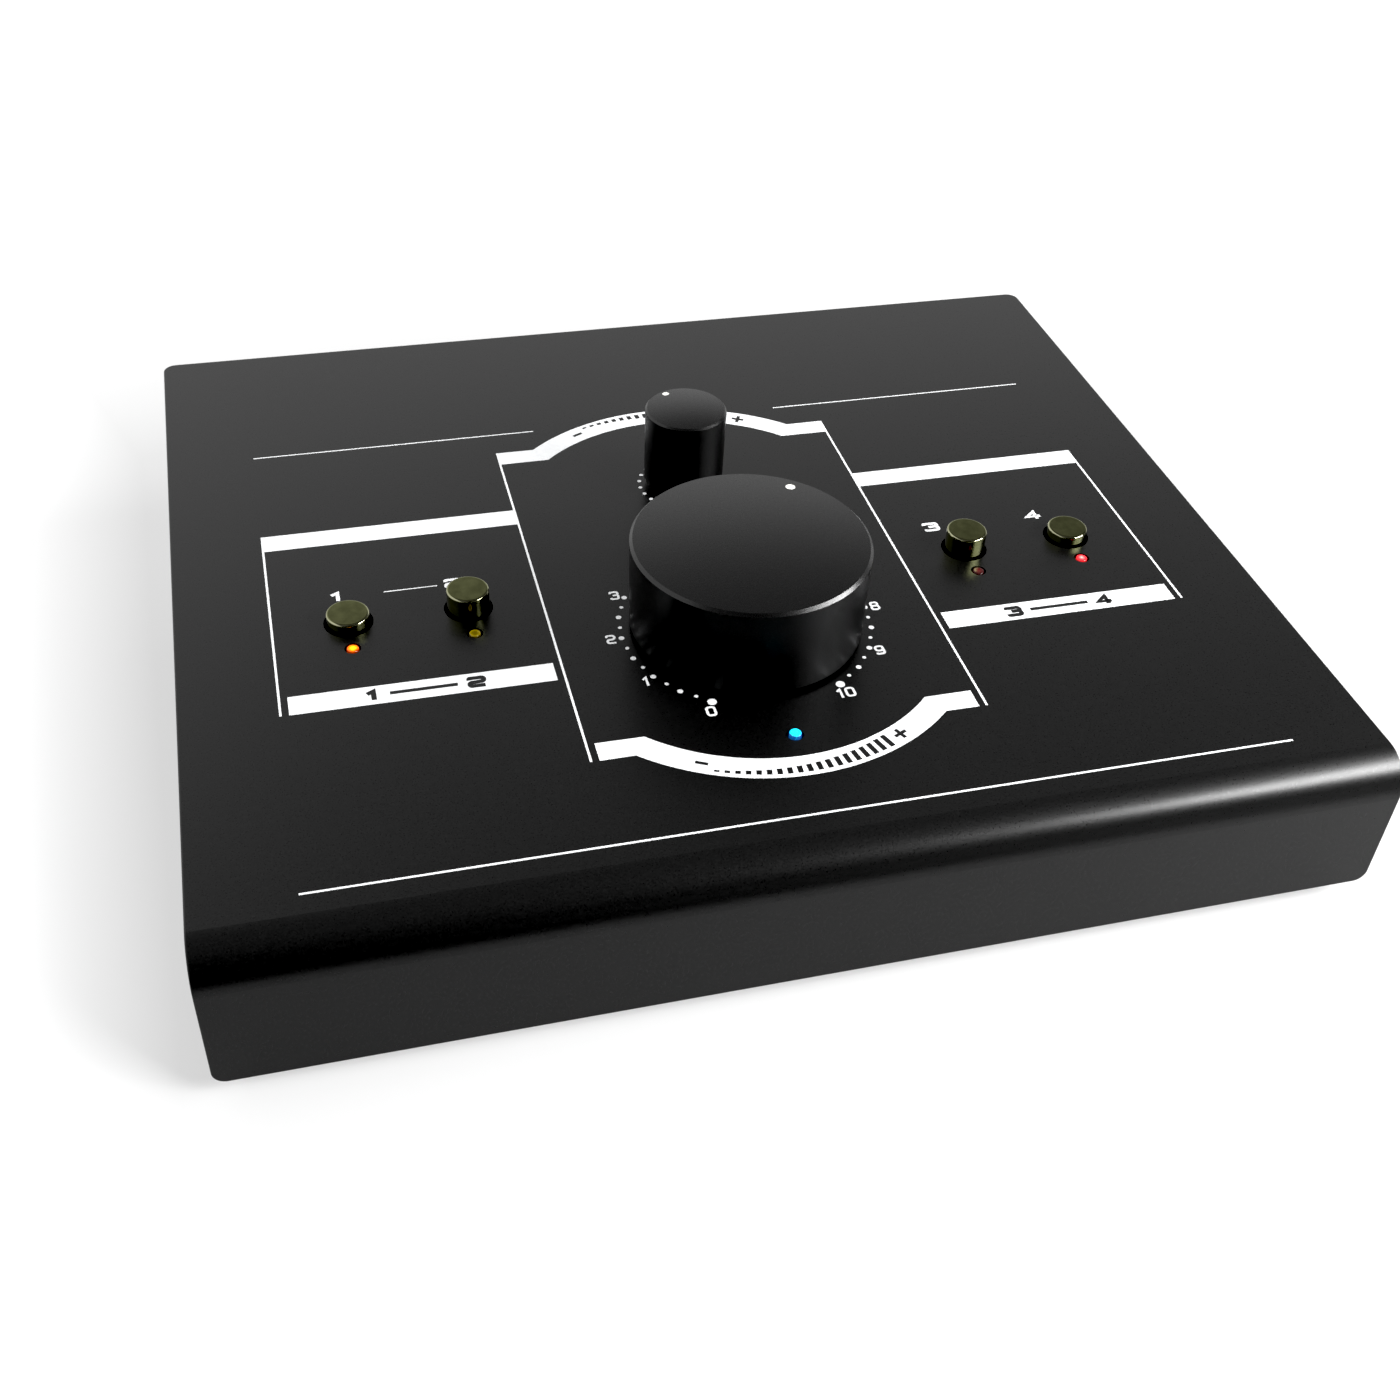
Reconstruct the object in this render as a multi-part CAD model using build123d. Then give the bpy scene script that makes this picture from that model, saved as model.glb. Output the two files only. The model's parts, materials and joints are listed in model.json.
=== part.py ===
from build123d import *
import os
from math import asin, cos, degrees, hypot, radians, sin, tan

# Desk-top studio monitor controller: a wedge-shaped case with a sloping control panel.
# Frame: +Z up, the front faces -Y, the origin is the bottom centre of the bounding box.
# Panel-mounted pieces are drawn in the panel frame (x right, y up the slope, z out of the
# panel, origin where the large knob's axis meets the panel's outer face) and then placed.

# ---- cover plate --------------------------------------------------------------------
COVER_WIDTH = 276.0
PANEL_TILT = 10.0            # degrees: the panel rises towards the back
PANEL_BACK = 154.7           # from the large knob's axis to the cover's back edge
PANEL_FRONT = 83.8           # from the large knob's axis to the outside of the front face
FRONT_DROP = 37.6            # height of the front face below the panel's outer surface
COVER_THICKNESS = 2.5
BEND_RADIUS = 9.5            # outside radius of the front bend
BACK_CORNER_RADIUS = 3.5
FRONT_CORNER_RADIUS = 3.2
COVER_EDGE_ROUND = 0.4
LIP_ABOVE_TRAY = 1.0         # from the tray's underside up to the front face's lower edge

# ---- tray and rear wall -------------------------------------------------------------
SHEET = 1.5
TRAY_INSET = 4.0             # how far the cover overhangs the tray on each side
TRAY_FRONT_GAP = 1.0         # between the cover's front face and the tray's front upstand
REAR_INSET = 8.5             # from the cover's back edge to the rear wall
REAR_FLANGE = 11.0
REAR_SCREW_LOW = 16.0        # above the floor
REAR_SCREW_DROP = 29.0       # below the top of the rear wall
REAR_FLOOR_SCREW_X = (-100.0, 34.0, 100.0)
WALL_FIT = 0.2               # between the rear wall's flanges and the tray's side walls
FOOT_RADIUS = 8.0
FOOT_HEIGHT = 4.0
FOOT_ROUND = 0.8
FOOT_INSET_X = 22.0
FOOT_INSET_Y = 24.0
FOOT_RECESS_RADIUS = 4.0
FOOT_WEB = 1.2               # rubber between the screw's head and the floor

# ---- fasteners (M3) -----------------------------------------------------------------
M3_RADIUS = 1.5
M3_HOLE_RADIUS = 1.6
M3_HEAD_RADIUS = 2.75
M3_HEAD_HEIGHT = 1.7
M3_HEAD_ROUND = 0.9
M3_SOCKET_WIDTH = 2.0
M3_SOCKET_DEPTH = 1.0
M3_NUT_WIDTH = 5.5
M3_NUT_HEIGHT = 2.4
SCREW_LENGTH = 6.0

# ---- rails under the cover ----------------------------------------------------------
RAIL_LEG = 12.0
RAIL_DROP = 13.5
RAIL_THICKNESS = 1.5
RAIL_FRONT_GAP = 20.0        # from the tray's front to the rail
RAIL_REAR_GAP = 6.5          # from the rail to the rear wall, along the slope
RAIL_CUT_GAP = 1.0           # round the rails, in the rear wall's flanges
STUD_LENGTH = 6.0
STUD_COUNT = 3
STUD_INSET = 30.0            # from the rail's ends
SIDE_SCREW_COUNT = 4
SIDE_SCREW_INSET = 12.0      # from the rail's ends
SIDE_SCREW_RISE = 6.0        # above the rail's lower edge

# ---- control layout on the panel ----------------------------------------------------
HEADPHONE_Y = 64.0
BUTTON_SIDE_INSET = 41.7     # from the cover's side to the outer buttons
BUTTON_PITCH = 29.7
BUTTON_Y = 19.6
LED_Y = 9.1
POWER_LED_Y = -42.8

# ---- knobs --------------------------------------------------------------------------
MASTER_RADIUS_TOP = 29.5
MASTER_RADIUS_BASE = 29.1
MASTER_TOP = 25.3
MASTER_GAP = 1.4             # from the panel to the knob's skirt
MASTER_CHAMFER = 0.75
MASTER_DOME = 1.2
MASTER_SKIRT = 3.6
MASTER_HUB_RADIUS = 8.0
MASTER_CEILING = 19.0
MASTER_POINTER_ANGLE = 51.5  # degrees from +X, as the knob stands at rest
MASTER_POINTER_RADIUS = 1.25
MASTER_POINTER_PLACE = 25.4
HEADPHONE_RADIUS_TOP = 11.0
HEADPHONE_RADIUS_BASE = 10.85
HEADPHONE_TOP = 23.9
HEADPHONE_GAP = 2.4
HEADPHONE_CHAMFER = 0.5
HEADPHONE_DOME = 0.6
HEADPHONE_RECESS_RADIUS = 7.6
HEADPHONE_POINTER_ANGLE = 114.5
HEADPHONE_POINTER_RADIUS = 0.95
HEADPHONE_POINTER_PLACE = 8.9
POINTER_DEPTH = 0.6
POINTER_PROUD = 0.01         # above the dome
HUB_CLEARANCE = 0.5          # from the bush's end to the knob's hub
GRUB_HEIGHT = 12.0
GRUB_RADIUS = 1.5
GRUB_HOLE_RADIUS = 1.55
GRUB_LENGTH = 5.2
GRUB_SOCKET = 1.5            # the socket's width and its depth
SHAFT_RADIUS = 3.0
SHAFT_FLAT = 0.5
SHAFT_FIT = 0.03             # radial, in the knob's bore
BUSH_FIT = 0.06              # radial, in the potentiometer's bush
BORE_DEPTH_LEFT = 1.0        # bore beyond the shaft's end
SHAFT_TOP = 18.5

# ---- potentiometers -----------------------------------------------------------------
BUSH_RADIUS = 4.0
BUSH_HOLE_RADIUS = 4.15
BUSH_TOP = 4.4
WASHER_RADIUS = 6.4
WASHER_THICKNESS = 0.7
POT_NUT_WIDTH = 10.5
POT_NUT_HEIGHT = 2.0
MASTER_POT_RADIUS = 12.0
HEADPHONE_POT_RADIUS = 8.5
POT_DEPTH = 9.0
POT_WALL = 1.2
POT_STAND = 4.5              # from the can's underside to the control board
ROTOR_THICKNESS = 2.5
ROTOR_PLAY = 0.3
POT_PIN_RADIUS = 0.5
POT_PIN_SPREAD = 38.0        # degrees between the pins, round the can

# ---- push buttons -------------------------------------------------------------------
BUTTON_HOLE_RADIUS = 6.1
CAP_RADIUS = 5.33
CAP_LENGTH = 9.0
CAP_ROUND = 0.6
CAP_RAISED = 6.0             # cap top above the panel, released
BUTTON_TRAVEL = 3.0
CAP_SOCKET_DEPTH = 5.0
CAP_CLEARANCE = 3.0          # from a pressed cap to its switch
PLUNGER_WIDTH = 3.2
PLUNGER_FIT = 0.05
PLUNGER_CLEARANCE = 0.8      # from a pressed plunger to the switch's floor
SWITCH_WIDTH = 8.5
SWITCH_FLOOR = 0.8

# ---- lamps --------------------------------------------------------------------------
LED_RADIUS = 1.5
LED_HOLE_RADIUS = 2.0
LED_FLANGE_RADIUS = 1.9
LED_FLANGE_HEIGHT = 1.0
LED_LENS_LENGTH = 4.6
LED_LENS_ROUND = 0.35
LED_TOP = 0.1
POWER_LED_TOP = 0.7
LED_LEG_RADIUS = 0.25
LED_LEG_PITCH = 1.27
LED_SPACER_RADIUS = 2.4
LED_SPACER_BORE = 0.6

# ---- control board (under the cover) ------------------------------------------------
BOARD_THICKNESS = 1.6
CONTROL_BOARD_SIDE_GAP = 8.5 # from the rails
CONTROL_BOARD_FRONT = -50.0
CONTROL_BOARD_BACK = 82.0
SPACER_WIDTH = 5.5
CONTROL_SPACER_INSET_X = 6.0
CONTROL_SPACER_INSET_FRONT = 20.0
CONTROL_SPACER_INSET_BACK = 38.0

# ---- main board (on the tray's floor) -----------------------------------------------
MAIN_SPACER_HEIGHT = 8.0
MAIN_BOARD_SIDE_GAP = 14.5
MAIN_BOARD_FRONT = -20.0
MAIN_BOARD_REAR_GAP = 1.5
MAIN_SPACER_INSET = 8.0      # from the board's front and sides
MAIN_SPACER_FOOT_GAP = 16.0  # from the rear feet forward to the rear spacers

# ---- ribbon between the boards ------------------------------------------------------
RIBBON_X = 70.0
RIBBON_WIDTH = 25.0
RIBBON_THICKNESS = 0.9
RIBBON_BEND = 5.0
HEADER_LENGTH = 30.0
HEADER_DEPTH = 6.0
HEADER_HEIGHT = 7.0
CONTROL_HEADER_Y = 14.0      # up the slope
MAIN_HEADER_Y = 34.0
RIBBON_DROP = 7.0
RIBBON_RISE = 14.0

# ---- rear connectors ----------------------------------------------------------------
DSUB_X = (-70.0, 2.0)
DSUB_HEIGHT = 6.6            # centre above the main board
DSUB_SHELL_LONG = 38.9
DSUB_SHELL_TALL = 8.2
DSUB_SLANT = 10.0            # degrees, the D's leaning sides
DSUB_SHELL_ROUND = 2.4
DSUB_SHELL_PROUD = 5.8
DSUB_SHELL_WALL = 0.6
DSUB_FACE_DROP = 0.5         # from the shell's rim down to the insulator's face
DSUB_FLANGE_EAR = 3.0        # past the screws' centres
DSUB_FLANGE_TALL = 12.5
DSUB_FLANGE_THICKNESS = 1.2
DSUB_BODY_LONG = 40.0
DSUB_BODY_DEPTH = 10.0
DSUB_SCREW_PITCH = 47.0
DSUB_PIN_PITCH = 2.77
DSUB_ROW_PITCH = 2.84
DSUB_PIN_HOLE = 0.55
DSUB_PIN_DEPTH = 4.0
DSUB_CUT_GAP = 0.25
SCREWLOCK_WIDTH = 4.8
SCREWLOCK_HEIGHT = 4.8
SCREWLOCK_BORE = 1.3
SCREWLOCK_STUD = 2.0         # past the connector's flange
LINE_JACK_X = (-100.0, -72.0, -44.0, -16.0)
HEADPHONE_JACK_X = 92.0
JACK_DROP = 28.5             # below the top of the rear wall
JACK_BORE_RADIUS = 3.25
JACK_BORE_DEPTH = 27.0
JACK_BUSH_RADIUS = 5.5
JACK_BUSH_PROUD = 4.0
JACK_HOLE_RADIUS = 5.6
JACK_BODY_WIDTH = 16.0
JACK_BODY_DEPTH = 27.0
JACK_NUT_WIDTH = 14.0
JACK_NUT_HEIGHT = 2.4
DC_X = 92.0
DC_BODY_WIDTH = 9.0
DC_BODY_HEIGHT = 11.0
DC_BODY_DEPTH = 14.0
DC_PROUD = 0.8
DC_BORE_RADIUS = 3.2
DC_BORE_DEPTH = 9.5
DC_PIN_RADIUS = 1.05
DC_CUT_GAP = 0.2
DC_PIN_SHORT = 1.0           # the pin's tip, inside the mouth

# ---- places that follow from the sizes ----------------------------------------------
TILT_SIN = sin(radians(PANEL_TILT))
TILT_COS = cos(radians(PANEL_TILT))
BEND_Y = -PANEL_FRONT + BEND_RADIUS
FRONT_REACH = BEND_RADIUS - BEND_Y * TILT_COS - BEND_RADIUS * TILT_SIN
BACK_REACH = PANEL_BACK * TILT_COS + COVER_THICKNESS * TILT_SIN
LIP_BOTTOM = FOOT_HEIGHT + LIP_ABOVE_TRAY
AXIS_Y = (FRONT_REACH - BACK_REACH) / 2
AXIS_Z = LIP_BOTTOM + PANEL_FRONT * TILT_SIN + FRONT_DROP * TILT_COS
panel = Location((0, AXIS_Y, AXIS_Z), (PANEL_TILT, 0, 0))

TRAY_HALF_X = COVER_WIDTH / 2 - TRAY_INSET
TRAY_INSIDE_X = TRAY_HALF_X - SHEET
TRAY_FLOOR_TOP = FOOT_HEIGHT + SHEET
TRAY_FRONT = -PANEL_FRONT + COVER_THICKNESS + TRAY_FRONT_GAP
REAR_FACE = AXIS_Y + PANEL_BACK * TILT_COS - REAR_INSET
REAR_INSIDE = REAR_FACE - SHEET
REAR_TOP = AXIS_Z + ((REAR_INSIDE - AXIS_Y) * TILT_SIN - COVER_THICKNESS) / TILT_COS
RAIL_FRONT = TRAY_FRONT + RAIL_FRONT_GAP
RAIL_BACK = (REAR_INSIDE - AXIS_Y) / TILT_COS - RAIL_REAR_GAP
SIDE_SCREW_DEPTH = COVER_THICKNESS + RAIL_DROP - SIDE_SCREW_RISE

CONTROL_BOARD_DEPTH = COVER_THICKNESS + POT_DEPTH + POT_STAND
CONTROL_BOARD_HALF_X = TRAY_INSIDE_X - RAIL_LEG - CONTROL_BOARD_SIDE_GAP
PRESSED_CAP_BOTTOM = CAP_RAISED - BUTTON_TRAVEL - CAP_LENGTH
SWITCH_TOP = PRESSED_CAP_BOTTOM - CAP_CLEARANCE
PRESSED_PLUNGER_BOTTOM = SWITCH_FLOOR + PLUNGER_CLEARANCE - CONTROL_BOARD_DEPTH
PLUNGER_LENGTH = PRESSED_CAP_BOTTOM + CAP_SOCKET_DEPTH - PRESSED_PLUNGER_BOTTOM

DSUB_FLANGE_LONG = DSUB_SCREW_PITCH + 2 * DSUB_FLANGE_EAR
MAIN_BOARD_Z = TRAY_FLOOR_TOP + MAIN_SPACER_HEIGHT
MAIN_BOARD_TOP = MAIN_BOARD_Z + BOARD_THICKNESS
MAIN_BOARD_HALF_X = TRAY_INSIDE_X - MAIN_BOARD_SIDE_GAP
JACK_Z = REAR_TOP - JACK_DROP
BUTTON_X_OUTER = COVER_WIDTH / 2 - BUTTON_SIDE_INSET
BUTTON_X_INNER = BUTTON_X_OUTER - BUTTON_PITCH
BUTTONS = {
    "active": (-BUTTON_X_OUTER, True),
    "solo": (-BUTTON_X_INNER, False),
    "mute": (BUTTON_X_INNER, False),
    "dim": (BUTTON_X_OUTER, True),
}
FAR = 2 * (COVER_WIDTH + PANEL_FRONT + PANEL_BACK)   # past the whole object, for cuts
TOUCH = 1e-4                 # for finding edges by their place


def block(x0, x1, y0, y1, z0, z1):
    """An upright box between two corners."""
    centre = Pos((x0 + x1) / 2, (y0 + y1) / 2, (z0 + z1) / 2)
    return centre * Box(x1 - x0, y1 - y0, z1 - z0)


def rod(radius, z0, z1, x=0.0, y=0.0):
    """A cylinder along Z."""
    return Pos(x, y, (z0 + z1) / 2) * Cylinder(radius, z1 - z0)


def hex_rod(width, z0, z1, x=0.0, y=0.0):
    """A hexagonal bar along Z, measured across its flats."""
    outline = RegularPolygon(width / 2, 6, major_radius=False)
    return Pos(x, y, z0) * extrude(outline, amount=z1 - z0)


def pan_screw(length):
    """A socket-headed pan screw: the seat of its head at z 0, the shank downwards."""
    head = rod(M3_HEAD_RADIUS, 0, M3_HEAD_HEIGHT)
    head = fillet(head.edges().sort_by(Axis.Z)[-1], M3_HEAD_ROUND)
    socket = hex_rod(M3_SOCKET_WIDTH, M3_HEAD_HEIGHT - M3_SOCKET_DEPTH, M3_HEAD_HEIGHT + 1)
    return head + rod(M3_RADIUS, -length, 0) - socket


def along_x(side):
    """Turns +Z to point out of the left (-1) or the right (+1) side."""
    return Rot(0, 90 * side, 0)


def along_y():
    """Turns +Z to point out of the back."""
    return Rot(-90, 0, 0)


def save(shape, name):
    """Writes one piece, or a group of separate identical pieces, to its own file."""
    solids = shape if isinstance(shape, list) else shape.solids()
    whole = solids[0] if len(solids) == 1 else Compound(children=list(solids))
    whole.label = name
    export_step(whole, os.path.join("parts", name + ".step"))


def below_cover():
    """The half space under the flat part of the cover, in the object's frame."""
    return panel * block(-FAR, FAR, -FAR, FAR, -FAR, -COVER_THICKNESS)


def wedge(front, rear, bottom, half_x):
    """A block under the cover: front parallel to the front face, rear upright."""
    body = block(-half_x, half_x, -FAR, rear, bottom, FAR)
    behind_front = panel * block(-FAR, FAR, front, FAR, -FAR, -COVER_THICKNESS)
    corner = panel * Pos(0, front, -COVER_THICKNESS) * Rot(45, 0, 0)
    nose = BEND_RADIUS / 2
    trimmed = body & behind_front
    return trimmed - corner * Box(FAR, nose * 2, nose * 2)


# ---- case ---------------------------------------------------------------------------
def make_top_cover():
    """Bent plate: flat panel, one bend, front face, and every hole through the panel."""
    centre = (BEND_Y, -BEND_RADIUS)
    inner_radius = BEND_RADIUS - COVER_THICKNESS
    inside_face = -PANEL_FRONT + COVER_THICKNESS
    outline = [
        Line((PANEL_BACK, 0), (BEND_Y, 0)),
        CenterArc(centre, BEND_RADIUS, 90, 90),
        Line((-PANEL_FRONT, -BEND_RADIUS), (-PANEL_FRONT, -FRONT_DROP)),
        Line((-PANEL_FRONT, -FRONT_DROP), (inside_face, -FRONT_DROP)),
        Line((inside_face, -FRONT_DROP), (inside_face, -BEND_RADIUS)),
        CenterArc(centre, inner_radius, 180, -90),
        Line((BEND_Y, -COVER_THICKNESS), (PANEL_BACK, -COVER_THICKNESS)),
        Line((PANEL_BACK, -COVER_THICKNESS), (PANEL_BACK, 0)),
    ]
    profile = Plane.YZ * make_face(outline)
    plate = extrude(profile, amount=COVER_WIDTH / 2, both=True)
    back_corners = plate.edges().filter_by(Axis.Z).group_by(Axis.Y)[-1]
    plate = fillet(back_corners, BACK_CORNER_RADIUS)
    front_corners = plate.edges().filter_by(Axis.Y).group_by(Axis.Z)[0]
    plate = fillet(front_corners, FRONT_CORNER_RADIUS)
    plate = fillet(plate.edges().filter_by(on_outer_rim), COVER_EDGE_ROUND)
    plate -= rod(BUSH_HOLE_RADIUS, -FAR, FAR)
    plate -= rod(BUSH_HOLE_RADIUS, -BEND_RADIUS, 1, 0, HEADPHONE_Y)
    for x, _ in BUTTONS.values():
        plate -= rod(BUTTON_HOLE_RADIUS, -BEND_RADIUS, 1, x, BUTTON_Y)
        plate -= rod(LED_HOLE_RADIUS, -BEND_RADIUS, 1, x, LED_Y)
    plate -= rod(LED_HOLE_RADIUS, -BEND_RADIUS, 1, 0, POWER_LED_Y)
    return panel * plate


def on_outer_rim(edge):
    """True for the edges round the rim of the plate's outer surface."""
    middle = edge @ 0.5
    from_bend = hypot(middle.Y - BEND_Y, middle.Z + BEND_RADIUS)
    on_top = abs(middle.Z) < TOUCH
    on_front = abs(middle.Y + PANEL_FRONT) < TOUCH
    on_bend = middle.Y < BEND_Y and abs(from_bend - BEND_RADIUS) < TOUCH
    bend_start = min(abs(middle.Y - BEND_Y), abs(middle.Z + BEND_RADIUS)) < TOUCH
    across = abs(middle.X) < TOUCH
    return (on_top or on_front or on_bend) and not (across and bend_start)


def along_rail(count, inset):
    """Evenly spaced places along the rails, up the slope."""
    step = (RAIL_BACK - RAIL_FRONT - 2 * inset) / (count - 1)
    return [RAIL_FRONT + inset + step * number for number in range(count)]


def tray_side_screws():
    """The places of the screws through the side walls into the rails."""
    slope = along_rail(SIDE_SCREW_COUNT, SIDE_SCREW_INSET)
    places = [panel * Pos(0, y, -SIDE_SCREW_DEPTH) for y in slope]
    return [(p.position.Y, p.position.Z) for p in places]


def rear_side_screws():
    """Two screws through each side wall into the rear wall's flange."""
    y = REAR_INSIDE - REAR_FLANGE / 2
    return [(y, TRAY_FLOOR_TOP + REAR_SCREW_LOW), (y, REAR_TOP - REAR_SCREW_DROP)]


def rear_floor_screws():
    """Three screws through the floor into the rear wall's bottom flange."""
    y = REAR_INSIDE - REAR_FLANGE / 2
    return [(x, y) for x in REAR_FLOOR_SCREW_X]


def foot_places():
    """The centres of the four feet."""
    front = FOOT_INSET_Y - FRONT_REACH + AXIS_Y + FRONT_DROP * TILT_SIN
    rear = REAR_FACE - FOOT_INSET_Y
    side = TRAY_HALF_X - FOOT_INSET_X
    return [(x, y) for x in (-side, side) for y in (front, rear)]


def make_base_tray():
    """Folded tray: floor, side walls up to the cover, and a front upstand."""
    shell = wedge(TRAY_FRONT, REAR_FACE, FOOT_HEIGHT, TRAY_HALF_X)
    tray = shell - wedge(TRAY_FRONT + SHEET, FAR, TRAY_FLOOR_TOP, TRAY_INSIDE_X)
    tray -= panel * block(-TRAY_INSIDE_X, TRAY_INSIDE_X, TRAY_FRONT, FAR, -BEND_RADIUS, 0)
    for y, z in tray_side_screws() + rear_side_screws():
        tray -= Pos(0, y, z) * Rot(0, 90, 0) * Cylinder(M3_HOLE_RADIUS, FAR)
    for x, y in rear_floor_screws() + foot_places():
        tray -= rod(M3_HOLE_RADIUS, 0, TRAY_FLOOR_TOP + 1, x, y)
    return tray


def dsub_outline(grow=0.0):
    """The D-shaped outline of a 25-way shell, long side up."""
    tall = DSUB_SHELL_TALL / 2 + grow
    top = DSUB_SHELL_LONG / 2 + grow
    bottom = top - 2 * tall * tan(radians(DSUB_SLANT))
    corners = Polyline((-top, tall), (top, tall), (bottom, -tall), (-bottom, -tall), close=True)
    return fillet(make_face(corners).vertices(), DSUB_SHELL_ROUND + grow)


def dsub_place(x):
    """The centre of a D connector on the rear wall's inner face, looking out of the back."""
    return Pos(x, REAR_INSIDE, MAIN_BOARD_TOP + DSUB_HEIGHT) * Rot(-90, 0, 0) * Rot(0, 0, 180)


def jack_place(x):
    """The centre of a jack on the rear wall's inner face, +Z out of the back."""
    return Pos(x, REAR_INSIDE, JACK_Z) * along_y()


def make_rear_panel():
    """Folded rear wall: plate, side flanges and a bottom flange, cut for the connectors."""
    half_x = TRAY_INSIDE_X - WALL_FIT
    front = REAR_INSIDE - REAR_FLANGE
    pan = block(-half_x, half_x, front, REAR_FACE, TRAY_FLOOR_TOP, FAR)
    inner = half_x - SHEET
    pan -= block(-inner, inner, front - 1, REAR_INSIDE, TRAY_FLOOR_TOP + SHEET, FAR + 1)
    pan = pan & below_cover()
    rail_room = COVER_THICKNESS + RAIL_DROP + RAIL_CUT_GAP
    for side in (-1, 1):
        notch = block(inner, FAR, 0, RAIL_BACK + RAIL_CUT_GAP, -rail_room, 0)
        pan -= panel * (notch if side > 0 else mirror(notch, about=Plane.YZ))
    for y, z in rear_side_screws():
        pan -= Pos(0, y, z) * Rot(0, 90, 0) * Cylinder(M3_RADIUS, FAR)
    for x, y in rear_floor_screws():
        pan -= rod(M3_RADIUS, 0, TRAY_FLOOR_TOP + 2 * SHEET, x, y)
    for x in LINE_JACK_X + (HEADPHONE_JACK_X,):
        pan -= jack_place(x) * rod(JACK_HOLE_RADIUS, -1, SHEET + 1)
    for x in DSUB_X:
        pan -= dsub_place(x) * Pos(0, 0, -1) * extrude(dsub_outline(DSUB_CUT_GAP), SHEET + 2)
        for side in (-1, 1):
            hole = rod(M3_RADIUS, -1, SHEET + 1, side * DSUB_SCREW_PITCH / 2)
            pan -= dsub_place(x) * hole
    pan -= block(
        DC_X - DC_BODY_WIDTH / 2 - DC_CUT_GAP, DC_X + DC_BODY_WIDTH / 2 + DC_CUT_GAP,
        REAR_INSIDE - 1, REAR_FACE + 1,
        MAIN_BOARD_TOP - DC_CUT_GAP, MAIN_BOARD_TOP + DC_BODY_HEIGHT + DC_CUT_GAP)
    return pan


def make_rail(side):
    """Angle along one side: the flat leg under the cover, the other inside the side wall."""
    outer = TRAY_INSIDE_X
    inner = outer - RAIL_LEG
    under = -COVER_THICKNESS
    leg = block(inner, outer, RAIL_FRONT, RAIL_BACK, under - RAIL_THICKNESS, under)
    wall = block(outer - RAIL_THICKNESS, outer, RAIL_FRONT, RAIL_BACK, under - RAIL_DROP, under)
    rail = leg + wall
    for y in along_rail(STUD_COUNT, STUD_INSET):
        rail -= rod(M3_HOLE_RADIUS, -RAIL_DROP, 0, stud_x(), y)
    for y in along_rail(SIDE_SCREW_COUNT, SIDE_SCREW_INSET):
        hole = Cylinder(M3_RADIUS, RAIL_LEG)
        rail -= Pos(outer, y, -SIDE_SCREW_DEPTH) * Rot(0, 90, 0) * hole
    if side < 0:
        rail = mirror(rail, about=Plane.YZ)
    return panel * rail


def stud_x():
    """The distance of the cover's studs from the middle."""
    return TRAY_INSIDE_X - RAIL_THICKNESS - (RAIL_LEG - RAIL_THICKNESS) / 2


def make_cover_studs():
    """Studs pressed under the cover for the rails."""
    under = -COVER_THICKNESS
    return [panel * rod(M3_RADIUS, under - STUD_LENGTH, under, side * stud_x(), y)
            for side in (-1, 1) for y in along_rail(STUD_COUNT, STUD_INSET)]


def make_rail_nuts():
    """Nuts that clamp the rails to the studs."""
    top = -COVER_THICKNESS - RAIL_THICKNESS
    nut = hex_rod(M3_NUT_WIDTH, top - M3_NUT_HEIGHT, top) - rod(M3_RADIUS, -FAR, 0)
    return [panel * Pos(side * stud_x(), y, 0) * nut
            for side in (-1, 1) for y in along_rail(STUD_COUNT, STUD_INSET)]


def make_side_screws():
    """Screws through the tray's side walls into the rails."""
    return [Pos(side * TRAY_HALF_X, y, z) * along_x(side) * pan_screw(SCREW_LENGTH)
            for side in (-1, 1) for y, z in tray_side_screws()]


def make_rear_panel_screws():
    """Screws that hold the rear wall: two in each side and three in the floor."""
    sides = [Pos(side * TRAY_HALF_X, y, z) * along_x(side) * pan_screw(SCREW_LENGTH)
             for side in (-1, 1) for y, z in rear_side_screws()]
    floor = [Pos(x, y, FOOT_HEIGHT) * Rot(180, 0, 0) * pan_screw(SCREW_LENGTH)
             for x, y in rear_floor_screws()]
    return sides + floor


def make_rubber_feet():
    """Four round feet, each with a recess for its screw's head."""
    foot = rod(FOOT_RADIUS, 0, FOOT_HEIGHT)
    foot = fillet(foot.edges().sort_by(Axis.Z)[0], FOOT_ROUND)
    foot -= rod(FOOT_RECESS_RADIUS, -1, FOOT_HEIGHT - FOOT_WEB)
    foot -= rod(M3_HOLE_RADIUS, -1, FOOT_HEIGHT + 1)
    return [Pos(x, y, 0) * foot for x, y in foot_places()]


def make_foot_screws():
    """Screws that hold the feet to the floor."""
    seat = FOOT_HEIGHT - FOOT_WEB
    return [Pos(x, y, seat) * Rot(180, 0, 0) * pan_screw(SCREW_LENGTH - 1)
            for x, y in foot_places()]


# ---- boards -------------------------------------------------------------------------
def control_spacer_places():
    """Where the control board hangs from the cover."""
    side = CONTROL_BOARD_HALF_X - CONTROL_SPACER_INSET_X
    front = CONTROL_BOARD_FRONT + CONTROL_SPACER_INSET_FRONT
    back = CONTROL_BOARD_BACK - CONTROL_SPACER_INSET_BACK
    return [(-side, front), (side, front), (-side, back), (0, back), (side, back)]


def make_control_board():
    """Board under the cover for the potentiometers, switches and lamps."""
    top = -CONTROL_BOARD_DEPTH
    board = block(
        -CONTROL_BOARD_HALF_X, CONTROL_BOARD_HALF_X,
        CONTROL_BOARD_FRONT, CONTROL_BOARD_BACK, top - BOARD_THICKNESS, top)
    for x, y in control_spacer_places():
        board -= rod(M3_HOLE_RADIUS, -FAR, 0, x, y)
    return panel * board


def make_control_board_spacers():
    """Hexagonal spacers between the cover and the control board."""
    top = -COVER_THICKNESS
    bottom = -CONTROL_BOARD_DEPTH
    spacer = hex_rod(SPACER_WIDTH, bottom, top) - rod(M3_RADIUS, bottom - 1, top - SHEET)
    return [panel * Pos(x, y, 0) * spacer for x, y in control_spacer_places()]


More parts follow.
